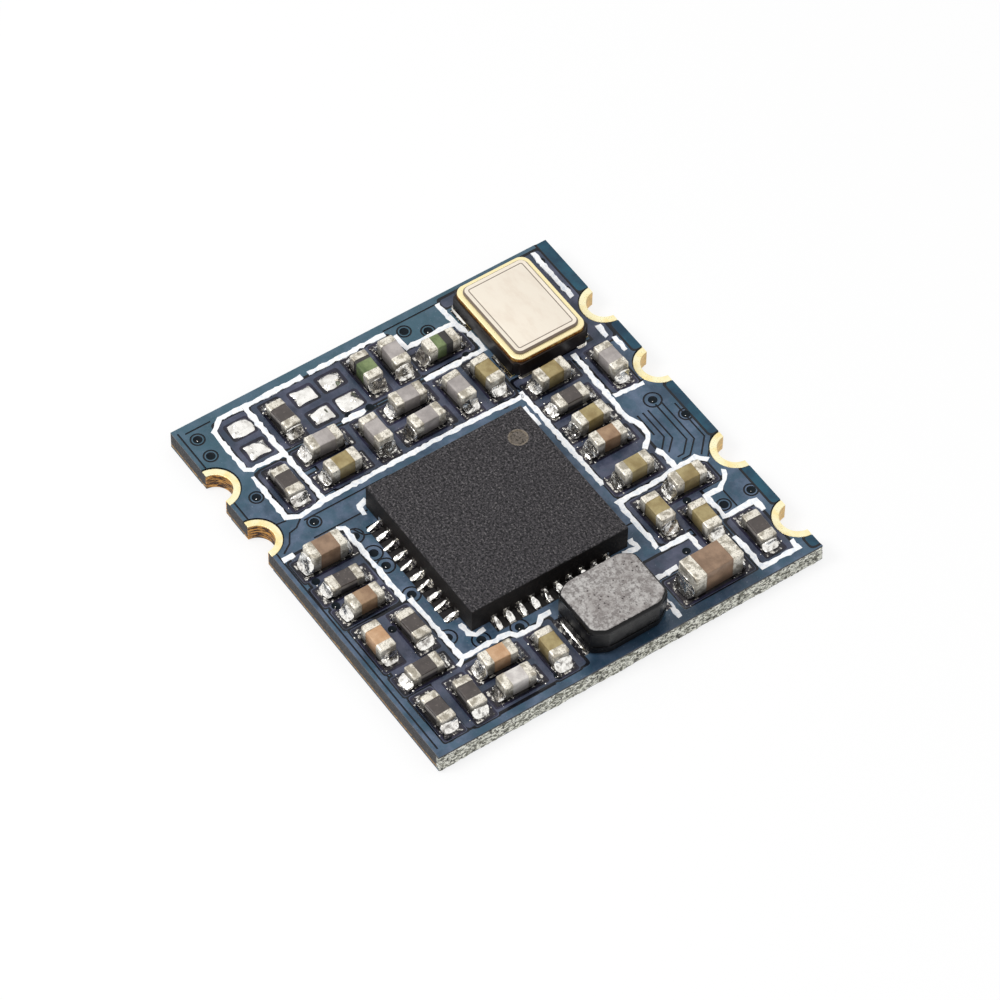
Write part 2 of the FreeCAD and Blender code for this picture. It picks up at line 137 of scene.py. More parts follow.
def newDrum(name, centre, radius, low, high, sides=24, tipRadius=None):
    deselectAll()
    place = Vector((centre[0], centre[1], (low + high) / 2)) * mm
    tip = radius if tipRadius is None else tipRadius
    bpy.ops.mesh.primitive_cone_add(vertices=sides, radius1=radius * mm, radius2=tip * mm,
                                    depth=(high - low) * mm, location=place)
    return takeNew(name)


def newHoop(name, centre, height, radius, thickness):
    deselectAll()
    bpy.ops.mesh.primitive_torus_add(major_segments=20, minor_segments=6,
                                     major_radius=radius * mm, minor_radius=thickness * mm,
                                     location=Vector((*centre, height)) * mm)
    return takeNew(name)


def applyModifier(piece, kind, **settings):
    useOnly(piece)
    modifier = piece.modifiers.new(kind.lower(), kind)
    for key, value in settings.items():
        setattr(modifier, key, value)
    bpy.ops.object.modifier_apply(modifier=modifier.name)


def copyPiece(model, name, matrix):
    piece = model.copy()
    piece.data = model.data.copy()
    piece.name = piece.data.name = name
    bpy.context.scene.collection.objects.link(piece)
    piece.matrix_world = matrix
    settle(piece)
    return piece


def joinPieces(pieces, name):
    deselectAll()
    for piece in pieces:
        piece.select_set(True)
    bpy.context.view_layer.objects.active = pieces[0]
    bpy.ops.object.join()
    piece = bpy.context.object
    piece.name = piece.data.name = name
    return piece


def copyNode(node, name):
    # a CAD node's mesh is loose triangles, so its copy is merged and its flat faces joined
    source = nodes[node]
    piece = bpy.data.objects.new(name, source.data.copy())
    piece.data.name = name
    bpy.context.scene.collection.objects.link(piece)
    pickAll(piece)
    bpy.ops.mesh.customdata_custom_splitnormals_clear()
    bpy.ops.mesh.remove_doubles(threshold=1e-7)
    bpy.ops.mesh.dissolve_limited(angle_limit=math.radians(0.5))
    bpy.ops.mesh.normals_make_consistent(inside=False)
    leaveEdit()
    return piece


def discard(piece):
    mesh = piece.data
    bpy.data.objects.remove(piece)
    bpy.data.meshes.remove(mesh)


def wobble(piece, amount, grain, seed):
    # a gentle unevenness, the same each run
    mesh = piece.data
    normals = [vertex.normal.copy() for vertex in mesh.vertices]
    for vertex, normal in zip(mesh.vertices, normals):
        spot = vertex.co / mm * grain + Vector((seed, -seed, 0.5 * seed))
        vertex.co += normal * (noise.noise(spot) * amount * mm)


def uneven(name, spread):
    # a small steady chance value for a piece, from its name
    total = sum((index + 1) * ord(letter) for index, letter in enumerate(name))
    return math.sin(total * 12.9898) * spread


def finishPiece(piece, material, replaced, smoothAngle=35):
    useOnly(piece)
    piece.data.materials.clear()
    piece.data.materials.append(material)
    bpy.ops.object.shade_smooth_by_angle(angle=math.radians(smoothAngle))
    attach(piece, "root")
    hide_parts(*replaced)
    return piece


def dressNode(node, material, bevelWidth=0.0, segments=2):
    # a CAD node that keeps its shape: a material, and modifiers that soften its edges
    piece = nodes[node]
    piece.data.materials.clear()
    piece.data.materials.append(material)
    if bevelWidth:
        weld = piece.modifiers.new("weld", "WELD")
        weld.merge_threshold = 1e-7
        bevel = piece.modifiers.new("soften", "BEVEL")
        bevel.width = bevelWidth * mm
        bevel.segments = segments
        bevel.limit_method = "ANGLE"
        bevel.angle_limit = math.radians(35)


def nodeBox(node):
    low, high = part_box(node)
    return low / mm, high / mm


def tone(red, green, blue):
    # a colour as it is seen on a screen, 0 to 255
    def linear(value):
        value /= 255
        return value / 12.92 if value <= 0.04045 else ((value + 0.055) / 1.055) ** 2.4
    return (linear(red), linear(green), linear(blue), 1.0)


def grey(value):
    return (value, value, value, 1.0)


class Wire:
    def __init__(self, maker, socket):
        self.maker, self.socket = maker, socket

    def __add__(self, other):
        return self.maker.maths("ADD", self, other)

    def __sub__(self, other):
        return self.maker.maths("SUBTRACT", self, other)

    def __rsub__(self, other):
        return self.maker.maths("SUBTRACT", other, self)

    def __mul__(self, other):
        return self.maker.maths("MULTIPLY", self, other)

    __radd__ = __add__
    __rmul__ = __mul__


class Finish:
    def __init__(self, name):
        self.material = bpy.data.materials.new(name)
        self.begin(self.material)
        place = self.node("ShaderNodeTexCoord", {}, {}, "Object")
        self.place = self.node("ShaderNodeVectorMath", {"operation": "SCALE"},
                               {"Vector": place, "Scale": 1000.0})      # millimetres

    def begin(self, owner):
        owner.use_nodes = True
        self.tree = owner.node_tree
        self.tree.nodes.clear()

    def node(self, kind, settings, inputs, output=0):
        made = self.tree.nodes.new(kind)
        for key, value in settings.items():
            setattr(made, key, value)
        for key, value in inputs.items():
            if isinstance(value, Wire):
                self.tree.links.new(value.socket, made.inputs[key])
            else:
                made.inputs[key].default_value = value
        return Wire(self, made.outputs[output])

    def maths(self, operation, *terms):
        return self.node("ShaderNodeMath", {"operation": operation}, dict(enumerate(terms)))

    def step(self, value, low, high):
        # 0 below low, 1 above high, smooth between
        return self.node("ShaderNodeMapRange", {"interpolation_type": "SMOOTHSTEP"},
                         {"Value": value, "From Min": low, "From Max": high})

    def axis(self, name):
        return self.node("ShaderNodeSeparateXYZ", {}, {"Vector": self.place}, name)

    def mottle(self, scale, detail=3.0, roughness=0.55, stretch=(1, 1, 1)):
        vector = self.node("ShaderNodeVectorMath", {"operation": "MULTIPLY"},
                           {0: self.place, 1: stretch})
        return self.node("ShaderNodeTexNoise", {"noise_dimensions": "3D"},
                         {"Vector": vector, "Scale": scale, "Detail": detail,
                          "Roughness": roughness}, "Fac")

    def cells(self, scale):
        return self.node("ShaderNodeTexVoronoi", {}, {"Vector": self.place, "Scale": scale},
                         "Distance")

    def away(self, x, y, z):
        # distance from a point
        towards = self.node("ShaderNodeVectorMath", {"operation": "SUBTRACT"},
                            {0: self.place, 1: (x, y, z)})
        return self.node("ShaderNodeVectorMath", {"operation": "LENGTH"}, {0: towards}, "Value")

    def mix(self, factor, first, second):
        # 0, 6 and 7 are the factor and the two colours of a colour mix
        return self.node("ShaderNodeMix", {"data_type": "RGBA"}, {0: factor, 6: first, 7: second}, 2)

    def bump(self, height, depth, strength):
        # depth in millimetres
        return self.node("ShaderNodeBump", {}, {"Height": height, "Distance": depth * mm,
                                                "Strength": strength}, "Normal")

    def surface(self, **sockets):
        inputs = {key.replace("_", " "): value for key, value in sockets.items()}
        self.output(self.node("ShaderNodeBsdfPrincipled", {}, inputs, "BSDF"))
        return self.material

    def backdropSeen(self):
        # 1 for the rays that look at the backdrop, straight or in metal and glass
        rays = [self.node("ShaderNodeLightPath", {}, {}, name)
                for name in ("Is Camera Ray", "Is Glossy Ray", "Is Transmission Ray")]
        return self.maths("MINIMUM", rays[0] + rays[1] + rays[2], 1.0)

    def output(self, shader, kind="ShaderNodeOutputMaterial"):
        made = self.tree.nodes.new(kind)
        self.tree.links.new(shader.socket, made.inputs["Surface"])


class Sky(Finish):
    def __init__(self, world):
        self.begin(world)
        self.place = self.node("ShaderNodeTexCoord", {}, {}, "Generated")


def maskFinish():
    # blue lacquer: slate over copper, purple where it lies lower, painted shade near black on the steps
    look = Finish("solderMaskBlue")
    height, across = look.axis("Z"), look.axis("Y")
    cloud = look.step(look.mottle(1.3, 5, 0.62), 0.34, 0.66)
    patch = look.step(look.mottle(2.4, 3, 0.5), 0.46, 0.60)
    fleck = look.step(look.mottle(15, 3, 0.7), 0.64, 0.70)
    grain = look.mottle(16, 3, 0.6)
    slate = look.mix(cloud, tone(52, 74, 94), tone(90, 107, 130))
    slate = look.mix(patch * 0.45, slate, tone(46, 84, 102))
    west = 1 - look.step(look.axis("X"), -5.5, -2.0)          # greener towards the -X edge
    slate = look.mix(west * 0.5, slate, tone(56, 94, 104))
    shaded = look.step(look.axis("X"), 5.85, 6.2) * look.step(across, -1.9, -1.1)
    shaded = shaded * (1 - look.step(across, 3.9, 4.5))       # dark strip by the snapped edge
    slate = look.mix(shaded * 0.62, slate, tone(20, 40, 58))
    slate = look.mix(fleck * 0.35, slate, tone(150, 160, 172))
    purple = look.mix(cloud, tone(50, 58, 76), tone(84, 88, 108))
    purple = look.mix(patch * 0.4, purple, tone(46, 66, 82))
    purple = look.mix(fleck * 0.3, purple, tone(120, 118, 140))
    teal = look.mix(cloud, tone(8, 50, 72), tone(22, 78, 98))
    lowTone = look.mix(look.step(across + cloud * 0.06, 5.83, 5.87), purple, teal)
    # painted shade: near black on the steps and in the grooves
    wall = tone(5, 8, 18)
    colour = look.mix(look.step(height, 0.579, 0.581), lowTone, wall)
    colour = look.mix(look.step(height, 0.5970, 0.5993), colour, slate)
    # painted shade: near black and dark purple on the floors of the wells round the parts
    colour = look.mix(look.step(height, 0.5705, 0.5755), look.mix(cloud, wall, tone(48, 46, 66)),
                      colour)
    # painted shade: near black down the via holes
    pit = 1 - look.step(height, 0.556, 0.563)
    colour = look.mix(pit, colour, tone(3, 4, 8))
    colour = look.mix(look.step(height, 0.062, 0.30), slate, colour)
    ripple = look.mottle(4, 3, 0.5)
    return look.surface(Base_Color=colour,
                        Roughness=look.step(grain, 0.1, 0.9) * 0.14 + pit * 0.5 + 0.15,
                        Normal=look.bump(ripple * 0.7 + grain * 0.3, 0.022, 0.8),
                        Specular_IOR_Level=0.36)


def goldFinish(name, pale, deep):
    look = Finish(name)
    cloud = look.mottle(3.0, 4)
    fine = look.mottle(22, 3)
    colour = look.mix(look.step(cloud, 0.4, 0.8), pale, deep)
    return look.surface(Base_Color=colour, Metallic=0.75,
                        Roughness=look.step(fine, 0.2, 0.8) * 0.18 + 0.22,
                        Normal=look.bump(fine, 0.006, 0.5))


def ringFinish():
    # gilt seal ring: bright on top, mottled orange down its flank
    look = Finish("ringGold")
    cloud = look.mottle(9, 4, 0.65)
    fine = look.mottle(26, 3)
    flank = look.mix(look.step(cloud, 0.38, 0.58), tone(250, 198, 104), tone(182, 106, 38))
    colour = look.mix(look.step(look.axis("Z"), 1.225, 1.255), flank, tone(255, 240, 188))
    return look.surface(Base_Color=colour, Metallic=0.6,
                        Roughness=look.step(fine, 0.2, 0.8) * 0.18 + 0.24,
                        Normal=look.bump(fine, 0.008, 0.6))


def contactFinish():
    # pale gold rings, and drill rings down the darker barrels
    look = Finish("contactGold")
    height = look.axis("Z")
    cloud = look.mottle(3.0, 4)
    fine = look.mottle(20, 3)
    streaks = look.mottle(9, 4, 0.65, (0.35, 0.35, 1.8))
    ring = look.mix(look.step(cloud, 0.35, 0.8), tone(255, 246, 204), tone(250, 226, 152))
    barrel = look.mix(look.step(streaks, 0.45, 0.57), tone(50, 22, 8), tone(214, 158, 80))
    farEdge = look.step(look.axis("Y"), 4.0, 5.0)             # paler barrels there
    barrel = look.mix(farEdge * 0.75, barrel, tone(246, 214, 150))
    onTop = look.step(height, 0.545, 0.57)
    return look.surface(Base_Color=look.mix(onTop, barrel, ring), Metallic=0.5,
                        Roughness=look.step(fine, 0.2, 0.8) * 0.16 + 0.42 - onTop * 0.18,
                        Normal=look.bump(streaks * (1 - onTop) + fine * 0.2, 0.05, 1.0))


def solderFinish(name, grain, darkReflectionFrom):
    # bright tin with dark patches, painted reflection of the dark board
    look = Finish(name)
    cloud = look.mottle(grain, 2)
    fine = look.mottle(26, 3)
    colour = look.mix(look.step(cloud, 0.35, 0.8), tone(255, 253, 248), tone(206, 202, 196))
    # painted reflection: dark patches over the tin
    darkReflection = look.step(look.mottle(6, 3, 0.6), darkReflectionFrom, darkReflectionFrom + 0.15)
    colour = look.mix(darkReflection * 0.68, colour, tone(82, 74, 68))
    return look.surface(Base_Color=colour, Metallic=0.95,
                        Roughness=look.step(fine, 0.2, 0.8) * 0.10 + 0.08,
                        Normal=look.bump(cloud * 0.95 + fine * 0.05, 0.026, 0.8))


def landFinish():
    # tinned lands, mostly dark, with bright patches
    look = Finish("landSolder")
    patch = look.step(look.mottle(7, 3, 0.6), 0.50, 0.62)
    fine = look.mottle(24, 3)
    colour = look.mix(patch, tone(58, 56, 60), tone(226, 222, 214))
    return look.surface(Base_Color=colour, Metallic=0.8,
                        Roughness=look.step(fine, 0.2, 0.8) * 0.16 + 0.12,
                        Normal=look.bump(patch * 0.5 + fine * 0.5, 0.016, 0.8))


def tinFinish():
    look = Finish("tinPlating")
    cloud = look.mottle(5, 4)
    fine = look.mottle(30, 3, 0.7)
    colour = look.mix(look.step(cloud, 0.44, 0.62), tone(244, 238, 224), tone(176, 168, 152))
    colour = look.mix(look.step(fine, 0.52, 0.62) * 0.6, colour, tone(98, 92, 82))
    # painted shade: the cups darker towards the board
    foot = 1 - look.step(look.axis("Z"), 0.68, 1.02)
    colour = look.mix(foot * 0.8, colour, tone(44, 40, 38))
    return look.surface(Base_Color=colour, Metallic=0.5,
                        Roughness=look.step(fine, 0.2, 0.8) * 0.18 + 0.26,
                        Normal=look.bump(fine * 0.5 + cloud * 0.5, 0.012, 0.8))


def ceramicColour(look, pale, deep, speck):
    # fired ceramic: cloudy, with fine darker pores, and painted shade towards its foot
    cloud = look.mottle(3.2, 4)
    colour = look.mix(look.step(cloud, 0.3, 0.7), pale, deep)
    pore = look.step(look.cells(26), 0.12, 0.30)
    dark = tuple(value * 0.5 for value in deep[:3]) + (1.0,)
    colour = look.mix((1 - pore) * speck, colour, dark)
    # painted shade: darker towards the board
    foot = 1 - look.step(look.axis("Z"), 0.66, 1.02)
    footShade = tuple(value * 0.22 for value in deep[:3]) + (1.0,)
    return look.mix(foot * 0.8, colour, footShade), pore


def ceramicFinish(name, pale, deep):
    look = Finish(name)
    colour, pore = ceramicColour(look, pale, deep, 0.35)
    return look.surface(Base_Color=colour, Roughness=0.5 - pore * 0.12,
                        Normal=look.bump(pore, 0.004, 0.7))


def greenFinish(name, axis, edge, darkBelow):
    # a chip inductor: green glaze with one dark half
    look = Finish(name)
    green, pore = ceramicColour(look, tone(128, 144, 96), tone(82, 100, 56), 0.4)
    dark, darkPore = ceramicColour(look, tone(60, 56, 52), tone(36, 34, 32), 0.4)
    beyond = look.step(look.axis(axis), edge - 0.015, edge + 0.015)
    share = 1 - beyond if darkBelow else beyond
    return look.surface(Base_Color=look.mix(share, green, dark), Roughness=0.42 - pore * 0.1,
                        Normal=look.bump(pore, 0.004, 0.7))


def resistorFinish():
    # pale alumina below, a dark glazed overcoat on top
    look = Finish("resistorBody")
    height = look.axis("Z")
    cloud = look.mottle(5, 4)
    scratch = look.step(look.mottle(14, 4, 0.7), 0.60, 0.68)
    alumina = look.mix(cloud, tone(176, 170, 164), tone(112, 106, 102))
    # painted shade: the alumina darker towards the board
    alumina = look.mix(look.step(height, 0.74, 0.84), tone(46, 43, 43), alumina)
    glaze = look.mix(cloud, tone(52, 46, 44), tone(88, 80, 76))
    glaze = look.mix(scratch * 0.5, glaze, tone(140, 130, 122))
    coat = look.step(height, 0.895, 0.92)
    return look.surface(Base_Color=look.mix(coat, alumina, glaze), Roughness=0.40 - coat * 0.12,
                        Normal=look.bump(look.mottle(24, 3), 0.005, 0.6))


def mouldFinish(mark):
    # moulded epoxy: charcoal top with fine speckle, near black sides, a pale ring at lead one
    look = Finish("chipMould")
    height = look.axis("Z")
    speckle = look.mottle(15, 3, 0.75)
    cloud = look.mottle(2.0, 3)
    top = look.mix(look.step(speckle, 0.42, 0.60), tone(10, 10, 13), tone(72, 69, 72))
    top = look.mix(look.step(cloud, 0.3, 0.7) * 0.2, top, tone(34, 31, 34))
    glint = look.step(look.mottle(17, 2, 0.7), 0.57, 0.66)
    top = look.mix(glint * 0.6, top, tone(126, 122, 122))
    away = look.away(*mark, 1.445)
    inside = 1 - look.step(away, 0.26, 0.29)
    ring = look.step(away, 0.21, 0.25) - look.step(away, 0.26, 0.30)
    worn = look.step(speckle, 0.32, 0.52)
    top = look.mix((inside * 0.38 + ring * 0.45) * worn, top, tone(146, 134, 118))
    side = look.mix(look.step(speckle, 0.4, 0.7), tone(10, 8, 8), tone(34, 27, 24))
    colour = look.mix(look.step(height, 1.41, 1.45), side, top)
    return look.surface(Base_Color=colour, Roughness=0.6, Specular_IOR_Level=0.25,
                        Normal=look.bump(speckle, 0.012, 0.8))


def ferriteFinish():
    # ground grey top with dark pits, coated black from its rim down
    look = Finish("ferriteGrey")
    height = look.axis("Z")
    cloud = look.mottle(2.2, 4)
    speckle = look.mottle(9, 5, 0.75)
    grey = look.mix(look.step(speckle, 0.40, 0.60), tone(126, 121, 119), tone(190, 187, 184))
    grey = look.mix(look.step(cloud, 0.38, 0.62) * 0.45, grey, tone(138, 131, 128))
    pit = (1 - look.step(look.cells(7.5), 0.10, 0.22)) * look.step(cloud, 0.44, 0.54)
    grey = look.mix(pit * 0.9, grey, tone(44, 40, 40))
    black = look.mix(cloud, tone(5, 5, 6), tone(18, 17, 18))
    rim = look.step(height + speckle * 0.03, 1.606, 1.618)
    return look.surface(Base_Color=look.mix(rim, black, grey), Roughness=rim * 0.40 + 0.26,
                        Specular_IOR_Level=0.22,
                        Normal=look.bump(speckle * 0.5 - pit * 0.8, 0.018, 0.8))


def resinFinish():
    look = Finish("blackResin")
    cloud = look.mottle(3.0, 3)
    colour = look.mix(cloud, tone(5, 5, 6), tone(18, 17, 18))
    return look.surface(Base_Color=colour, Roughness=look.step(cloud, 0.3, 0.8) * 0.14 + 0.26,
                        Specular_IOR_Level=0.25, Normal=look.bump(cloud, 0.03, 0.7))


def lidFinish():
    # pale nickel lid with faint marbling, and painted shade as a dark line in its seam
    look = Finish("lidIvory")
    cloud = look.mottle(1.3, 5, 0.6, (1, 2.2, 1))
    fine = look.mottle(24, 3)
    colour = look.mix(look.step(cloud, 0.42, 0.75), tone(242, 232, 216), tone(234, 221, 204))
    # painted shade in the seam's groove
    seam = 1 - look.step(look.axis("Z"), 1.3655, 1.3725)
    colour = look.mix(seam * 0.9, colour, tone(88, 70, 56))
    return look.surface(Base_Color=colour, Metallic=0.15,
                        Roughness=look.step(fine, 0.2, 0.8) * 0.14 + 0.34,
                        Normal=look.bump(fine, 0.004, 0.4))


def caseFinish():
    look = Finish("caseCeramic")
    cloud = look.mottle(3, 3)
    colour = look.mix(cloud, tone(12, 9, 8), tone(34, 25, 21))
    return look.surface(Base_Color=colour, Roughness=0.36, Specular_IOR_Level=0.35,
                        Normal=look.bump(cloud, 0.02, 0.6))


def laminateFinish():
    # woven glass in resin on its cut edges: pale where it snapped, dark where it was routed
    look = Finish("laminate")
    along, height = look.axis("X"), look.axis("Z")
    weave = look.mottle(6, 5, 0.72, (1, 1, 2.6))
    fine = look.mottle(11, 4, 0.72, (1, 1, 1.4))
    pale = look.mix(look.step(weave, 0.42, 0.56), tone(120, 120, 106), tone(252, 252, 240))
    tan = look.mix(look.step(weave, 0.35, 0.7), tone(128, 96, 58), tone(206, 166, 108))
    navy = look.mix(look.step(weave, 0.35, 0.7), tone(26, 30, 38), tone(64, 60, 58))
    routed = look.mix(look.step(height, 0.10, 0.17), tan, navy)
    colour = look.mix(look.step(along, 6.3, 6.4), routed, pale)
    speck = look.step(fine, 0.53, 0.58)
    colour = look.mix(speck * 0.94, colour, tone(22, 21, 19))
    inside = look.step(height, 0.5385, 0.5398)
    colour = look.mix(inside, colour, tone(26, 22, 22))
    return look.surface(Base_Color=colour, Roughness=0.66,
                        Normal=look.bump(weave * 0.6 + fine * 0.4, 0.05, 0.9))


def legendFinish():
    look = Finish("legendInk")
    cloud = look.mottle(8, 4, 0.6)
    colour = look.mix(look.step(cloud, 0.4, 0.75), tone(255, 255, 255), tone(222, 230, 240))
    return look.surface(Base_Color=colour, Roughness=0.5, Normal=look.bump(cloud, 0.01, 0.6))


def viaShadeFinish():
    # painted shade: near black in the via holes
    look = Finish("viaPaintedShade")
    cloud = look.mottle(9, 3)
    return look.surface(Base_Color=look.mix(cloud, tone(2, 4, 8), tone(16, 30, 38)),
                        Roughness=look.step(cloud, 0.2, 0.8) * 0.2 + 0.5, Specular_IOR_Level=0.15)


def copperFinish():
    look = Finish("copperBare")
    cloud = look.mottle(5, 4)
    return look.surface(Base_Color=look.mix(cloud, tone(196, 128, 92), tone(150, 92, 64)),
                        Metallic=1.0, Roughness=look.step(cloud, 0.2, 0.8) * 0.2 + 0.3)


def wireFinish():
    look = Finish("windingWire")
    cloud = look.mottle(8, 3, 0.5, (1, 1, 6))
    return look.surface(Base_Color=look.mix(cloud, tone(170, 92, 52), tone(120, 60, 34)),
                        Metallic=0.8, Roughness=look.step(cloud, 0.2, 0.8) * 0.1 + 0.35)


def quartzFinish():
    look = Finish("quartzBlank")
    cloud = look.mottle(4, 3)
    return look.surface(Base_Color=look.mix(cloud, tone(226, 230, 232), tone(204, 210, 214)),
                        Roughness=look.step(cloud, 0.2, 0.8) * 0.08 + 0.1)


pinMark = {"from": (-0.63, 1.04), "to": (-0.525, 1.128), "radius": 0.27}
finishes = {
    "mask": maskFinish(),
    "gold": goldFinish("goldPlating", tone(252, 232, 158), tone(226, 178, 92)),
    "contact": contactFinish(),
    "ring": ringFinish(),
    "solder": solderFinish("solderBright", 9, 0.50),
    "pillow": solderFinish("solderSmooth", 4, 0.60),
    "plug": viaShadeFinish(),
    "land": landFinish(),
    "tin": tinFinish(),
    "resistor": resistorFinish(),
    "mould": mouldFinish(pinMark["to"]),
    "ferrite": ferriteFinish(),
    "resin": resinFinish(),
    "lid": lidFinish(),
    "case": caseFinish(),
    "laminate": laminateFinish(),
    "legend": legendFinish(),
    "copper": copperFinish(),
    "wire": wireFinish(),
    "quartz": quartzFinish(),
    "grey": ceramicFinish("greyCeramic", tone(184, 177, 173), tone(152, 145, 142)),
    "pale": ceramicFinish("paleCeramic", tone(222, 217, 212), tone(190, 184, 180)),
    "tan": ceramicFinish("tanCeramic", tone(172, 156, 110), tone(139, 120, 75)),
    "brown": ceramicFinish("brownCeramic", tone(168, 138, 108), tone(134, 104, 78)),
    "orange": ceramicFinish("orangeCeramic", tone(210, 174, 138), tone(186, 144, 106)),
    "umber": ceramicFinish("umberCeramic", tone(156, 128, 104), tone(126, 101, 80)),
    "green1": greenFinish("greenGlazeOne", "Y", 1.52, False),
    "green2": greenFinish("greenGlazeTwo", "X", -5.30, True),
}
print("materials:", len(finishes))

# chip parts: one soft block and two metal cups each
chipParts = {"blockBevel": 0.032, "blockInset": 0.014, "blockShort": 0.06, "cupBevel": 0.060,
             "cupWall": 0.02,
             "smallBand": 0.25, "largeBand": 0.36, "turnSpread": 2.2, "landReach": 0.28,
             "landMargin": 0.03, "solderReach": 0.24, "climbShare": 0.62, "metal": 0.02}
blockFinish = {}
for numbers, slot, look in (((1, 2, 3, 4, 5, 6, 7), "grey_ceramic", "grey"),
                            ((8,), "pale_ceramic", "pale"),
                            ((9, 10, 11, 12, 13, 14, 15, 16, 17), "tan_ceramic", "tan"),
                            ((18, 19), "brown_ceramic", "brown"),
                            ((20, 21), "orange_ceramic", "orange"),
                            ((22, 23), "umber_ceramic", "umber")):
    for number in numbers:
        blockFinish[f"capacitor_{number}"] = (slot, look)
for number in (1, 2):
    blockFinish[f"chip_inductor_{number}"] = ("green_ceramic", f"green{number}")
for number in range(1, 10):
    blockFinish[f"resistor_{number}"] = ("resistor_body", "resistor")


def partPlace(node):
    # middle, length, width, height over the metal and the turn of a chip part
    low, high = nodeBox(node)
    size = high - low
    alongX = size.x > size.y
    length, width = (size.x, size.y) if alongX else (size.y, size.x)
    resistor = node.startswith("resistor")
    metal = chipParts["metal"]
    length += 2 * metal
    width += 0 if resistor else 2 * metal
    height = high.z + (0.005 if resistor else metal) - level["seat"]
    return (low + high) / 2, round(length, 3), round(width, 3), round(height, 3), 0 if alongX else 90


def partMatrix(node):
    middle, length, width, height, turn = partPlace(node)
    angle = math.radians(turn + uneven(node, chipParts["turnSpread"]))
    place = Vector((middle.x, middle.y, level["seat"])) * mm
    return Matrix.Translation(place) @ Matrix.Rotation(angle, 4, "Z")


def makeBlock(length, width, height):
    inset = chipParts["blockInset"]
    half = Vector((length / 2 - chipParts["blockShort"], width / 2 - inset, 0))
    top = height - inset
    block = newBlock("blockModel", (-half.x, -half.y, 0.02), (half.x, half.y, top))
    pickAll(block)
    bpy.ops.mesh.subdivide(number_cuts=2)
    leaveEdit()
    pickEdges(block, lambda start, end: onRim(start, end, half, top))
    bevelPicked(chipParts["blockBevel"], 3)
    return block


def onRim(start, end, half, top):
    # an edge shared by two sides of a block
    def sides(point):
        return {("x", point.x > 0) if abs(abs(point.x) - half.x) < 1e-4 else None,
                ("y", point.y > 0) if abs(abs(point.y) - half.y) < 1e-4 else None,
                ("z", True) if abs(point.z - top) < 1e-4 else None} - {None}
    return len(sides(start) & sides(end)) > 1


def makeCup(length, width, height, band):
    # a block whose inner face is inset and pushed in, so that it caps the ceramic's end
    tip, wall = length / 2, chipParts["cupWall"]
    cup = newBlock("cupModel", (tip - band, -width / 2, 0), (tip, width / 2, height))
    pickEdges(cup, lambda start, end: min(start.x, end.x) > tip - 1e-4
              or (abs(start.y - end.y) < 1e-4 and abs(start.z - end.z) < 1e-4))
    bevelPicked(chipParts["cupBevel"], 4)
    pickFaces(cup, lambda middle, normal: normal.x < -0.9)
    bpy.ops.mesh.inset(thickness=wall * mm * 1.4)
    bpy.ops.mesh.extrude_region_move(
        TRANSFORM_OT_translate={"value": ((band - 2 * wall) * mm, 0, 0)})
    leaveEdit()
    return cup


def makeWedge(name, hollow, segments, profile, cuts):
    # solder of unit size: wall at x 0, foot at x 1, hollow between
    wedge = newBlock(name, (0, -0.5, 0), (1, 0.5, 1))
    pickEdges(wedge, lambda start, end: min(start.x, end.x, start.z, end.z) > 0.99)
    bevelPicked(hollow, segments, profile)
    pickAll(wedge)
    for cut in cuts:
        bpy.ops.mesh.select_all(action="SELECT")
        bpy.ops.mesh.bisect(plane_co=(0, cut * mm, 0), plane_no=(0, 1, 0))
    leaveEdit()
    return wedge


def makeFillet():
    fillet = makeWedge("filletModel", 0.92, 7, 0.16, (-0.36, -0.12, 0.12, 0.36))
    for vertex in fillet.data.vertices:
        out = max(vertex.co.x / mm, 0.0)
        side = abs(vertex.co.y / mm) * 2
        vertex.co.y *= 1.04 - 0.26 * out ** 2.5              # rounded foot
        vertex.co.z *= 1.0 - 0.30 * side ** 3 * (1 - out)    # lower at both sides
        vertex.co.x *= 1.0 - 0.12 * side ** 2
    applyModifier(fillet, "SUBSURF", levels=1, render_levels=1)
    return fillet


def addFillet(name, frameMatrix, foot, size, roughness=0.05):
    # a fillet with its wall at foot, stretched to size
    grow = Matrix.Diagonal((*size, 1.0))
    piece = copyPiece(fillet, "fillet_" + name,
                      frameMatrix @ Matrix.Translation(Vector(foot) * mm) @ grow)
    wobble(piece, roughness, 3.4, uneven(name, 20))
    return piece


fillet = makeFillet()
models, solderPieces, cupPieces = {}, [], []
for node, (slot, look) in blockFinish.items():
    middle, length, width, height, turn = partPlace(node)
    band = chipParts["largeBand"] if length > 1.3 else chipParts["smallBand"]
    key = (length, width, height)
    if key not in models:
        models[key] = (makeBlock(*key), makeCup(*key, band))
    block, cup = models[key]
    matrix = partMatrix(node)
    piece = copyPiece(block, node + "_block", matrix)
    wobble(piece, 0.006, 4.0, uneven(node, 20))
    finishPiece(piece, finishes[look], (node,))
    climb = height * chipParts["climbShare"]
    for side in (0, 1):
        flip = matrix @ Matrix.Rotation(math.pi * side, 4, "Z")
        name = f"{node}_{side}"
        cupPieces.append(copyPiece(cup, "cup_" + name, flip))
        wobble(cupPieces[-1], 0.014, 5.0, uneven(name, 20))
        size = (chipParts["solderReach"] + uneven(name + "a", 0.04),
                width + 0.04 + uneven(name + "b", 0.03),
                0.04 + climb * (1 + uneven(name + "c", 0.18)))
        solderPieces.append(addFillet(name, flip, (length / 2 - 0.02, uneven(name, 0.02), -0.04), size))
finishPiece(joinPieces(cupPieces, "endCups"), finishes["tin"], ("end_bands",))
finishPiece(joinPieces(solderPieces, "partSolder"), finishes["solder"],
            ("solder_joints",), 60)
for pair in models.values():
    for model in pair:
        discard(model)
print("chip parts:", len(blockFinish))

